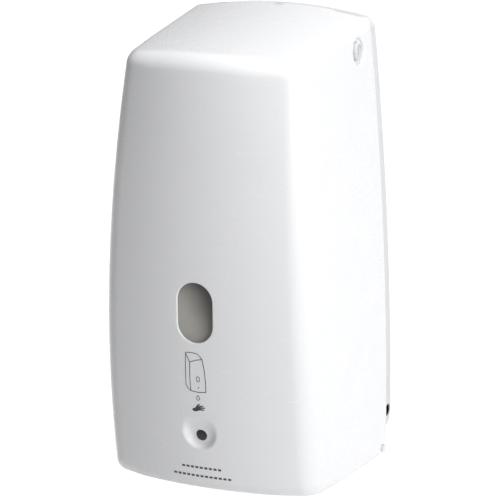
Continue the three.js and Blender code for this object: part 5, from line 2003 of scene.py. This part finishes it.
class DISPENSER_OT_plate(bpy.types.Operator):
    """Build the back plate with its ribs and ears"""

    bl_idname = "dispenser.plate"
    bl_label = "Back plate"

    def execute(self, context):
        return done(add_plate())


class DISPENSER_OT_plate_fittings(bpy.types.Operator):
    """Build the lock's keeper, the hinge pins and the power socket"""

    bl_idname = "dispenser.plate_fittings"
    bl_label = "Plate fittings"

    def execute(self, context):
        return done(add_plate_fittings())


class DISPENSER_OT_tank(bpy.types.Operator):
    """Build the soap tank"""

    bl_idname = "dispenser.tank"
    bl_label = "Tank"

    def execute(self, context):
        return done(add_tank())


class DISPENSER_OT_cap(bpy.types.Operator):
    """Build the filler cap"""

    bl_idname = "dispenser.cap"
    bl_label = "Filler cap"

    def execute(self, context):
        return done(add_cap())


class DISPENSER_OT_outlet(bpy.types.Operator):
    """Build the tank's seat, the nozzle and its tip"""

    bl_idname = "dispenser.outlet"
    bl_label = "Seat and nozzle"

    def execute(self, context):
        return done(add_seat_and_nozzle())


class DISPENSER_OT_case(bpy.types.Operator):
    """Build the rear half of the drive case"""

    bl_idname = "dispenser.case"
    bl_label = "Drive case"

    def execute(self, context):
        return done(add_case())


class DISPENSER_OT_panel(bpy.types.Operator):
    """Build the front panel of the drive case"""

    bl_idname = "dispenser.panel"
    bl_label = "Front panel"

    def execute(self, context):
        return done(add_panel())


class DISPENSER_OT_controls(bpy.types.Operator):
    """Build the battery door, the switch knob and the dose button"""

    bl_idname = "dispenser.controls"
    bl_label = "Door and controls"

    def execute(self, context):
        return done(add_controls())


class DISPENSER_OT_screws(bpy.types.Operator):
    """Build the screws"""

    bl_idname = "dispenser.screws"
    bl_label = "Screws"

    def execute(self, context):
        return done(add_screws())


class DISPENSER_OT_stage(bpy.types.Operator):
    """Set the floor, the lights and the camera"""

    bl_idname = "dispenser.stage"
    bl_label = "Stage"

    def execute(self, context):
        return done(add_stage())


OPERATORS = (
    DISPENSER_OT_nodes,
    DISPENSER_OT_cover,
    DISPENSER_OT_pane,
    DISPENSER_OT_lens,
    DISPENSER_OT_lock,
    DISPENSER_OT_marks,
    DISPENSER_OT_plate,
    DISPENSER_OT_plate_fittings,
    DISPENSER_OT_tank,
    DISPENSER_OT_cap,
    DISPENSER_OT_outlet,
    DISPENSER_OT_case,
    DISPENSER_OT_panel,
    DISPENSER_OT_controls,
    DISPENSER_OT_screws,
    DISPENSER_OT_stage,
)


class DISPENSER_PT_build(bpy.types.Panel):
    """Lists the sizes, the colours and the building steps"""

    bl_idname = "DISPENSER_PT_build"
    bl_label = "Wall soap dispenser"
    bl_space_type = "VIEW_3D"
    bl_region_type = "UI"
    bl_category = "Dispenser"

    def draw(self, context):
        for group in (sizes(), colours()):
            column = self.layout.column()
            for key in group.__annotations__:
                column.prop(group, key)
        column = self.layout.column(align=True)
        for operator in OPERATORS:
            column.operator(operator.bl_idname)


CLASSES = (DispenserSizes, DispenserColours, *OPERATORS, DISPENSER_PT_build)


def register():
    for cls in CLASSES:
        bpy.utils.register_class(cls)
    bpy.types.Scene.dispenser_sizes = bpy.props.PointerProperty(type=DispenserSizes)
    bpy.types.Scene.dispenser_colours = bpy.props.PointerProperty(type=DispenserColours)


def unregister():
    del bpy.types.Scene.dispenser_colours
    del bpy.types.Scene.dispenser_sizes
    for cls in reversed(CLASSES):
        bpy.utils.unregister_class(cls)


def main():
    register()
    for operator in OPERATORS:
        name = operator.bl_idname.split(".")[1]
        if getattr(bpy.ops.dispenser, name)() != {"FINISHED"}:
            raise RuntimeError(f"{name} did not finish")


if __name__ == "__main__":
    main()
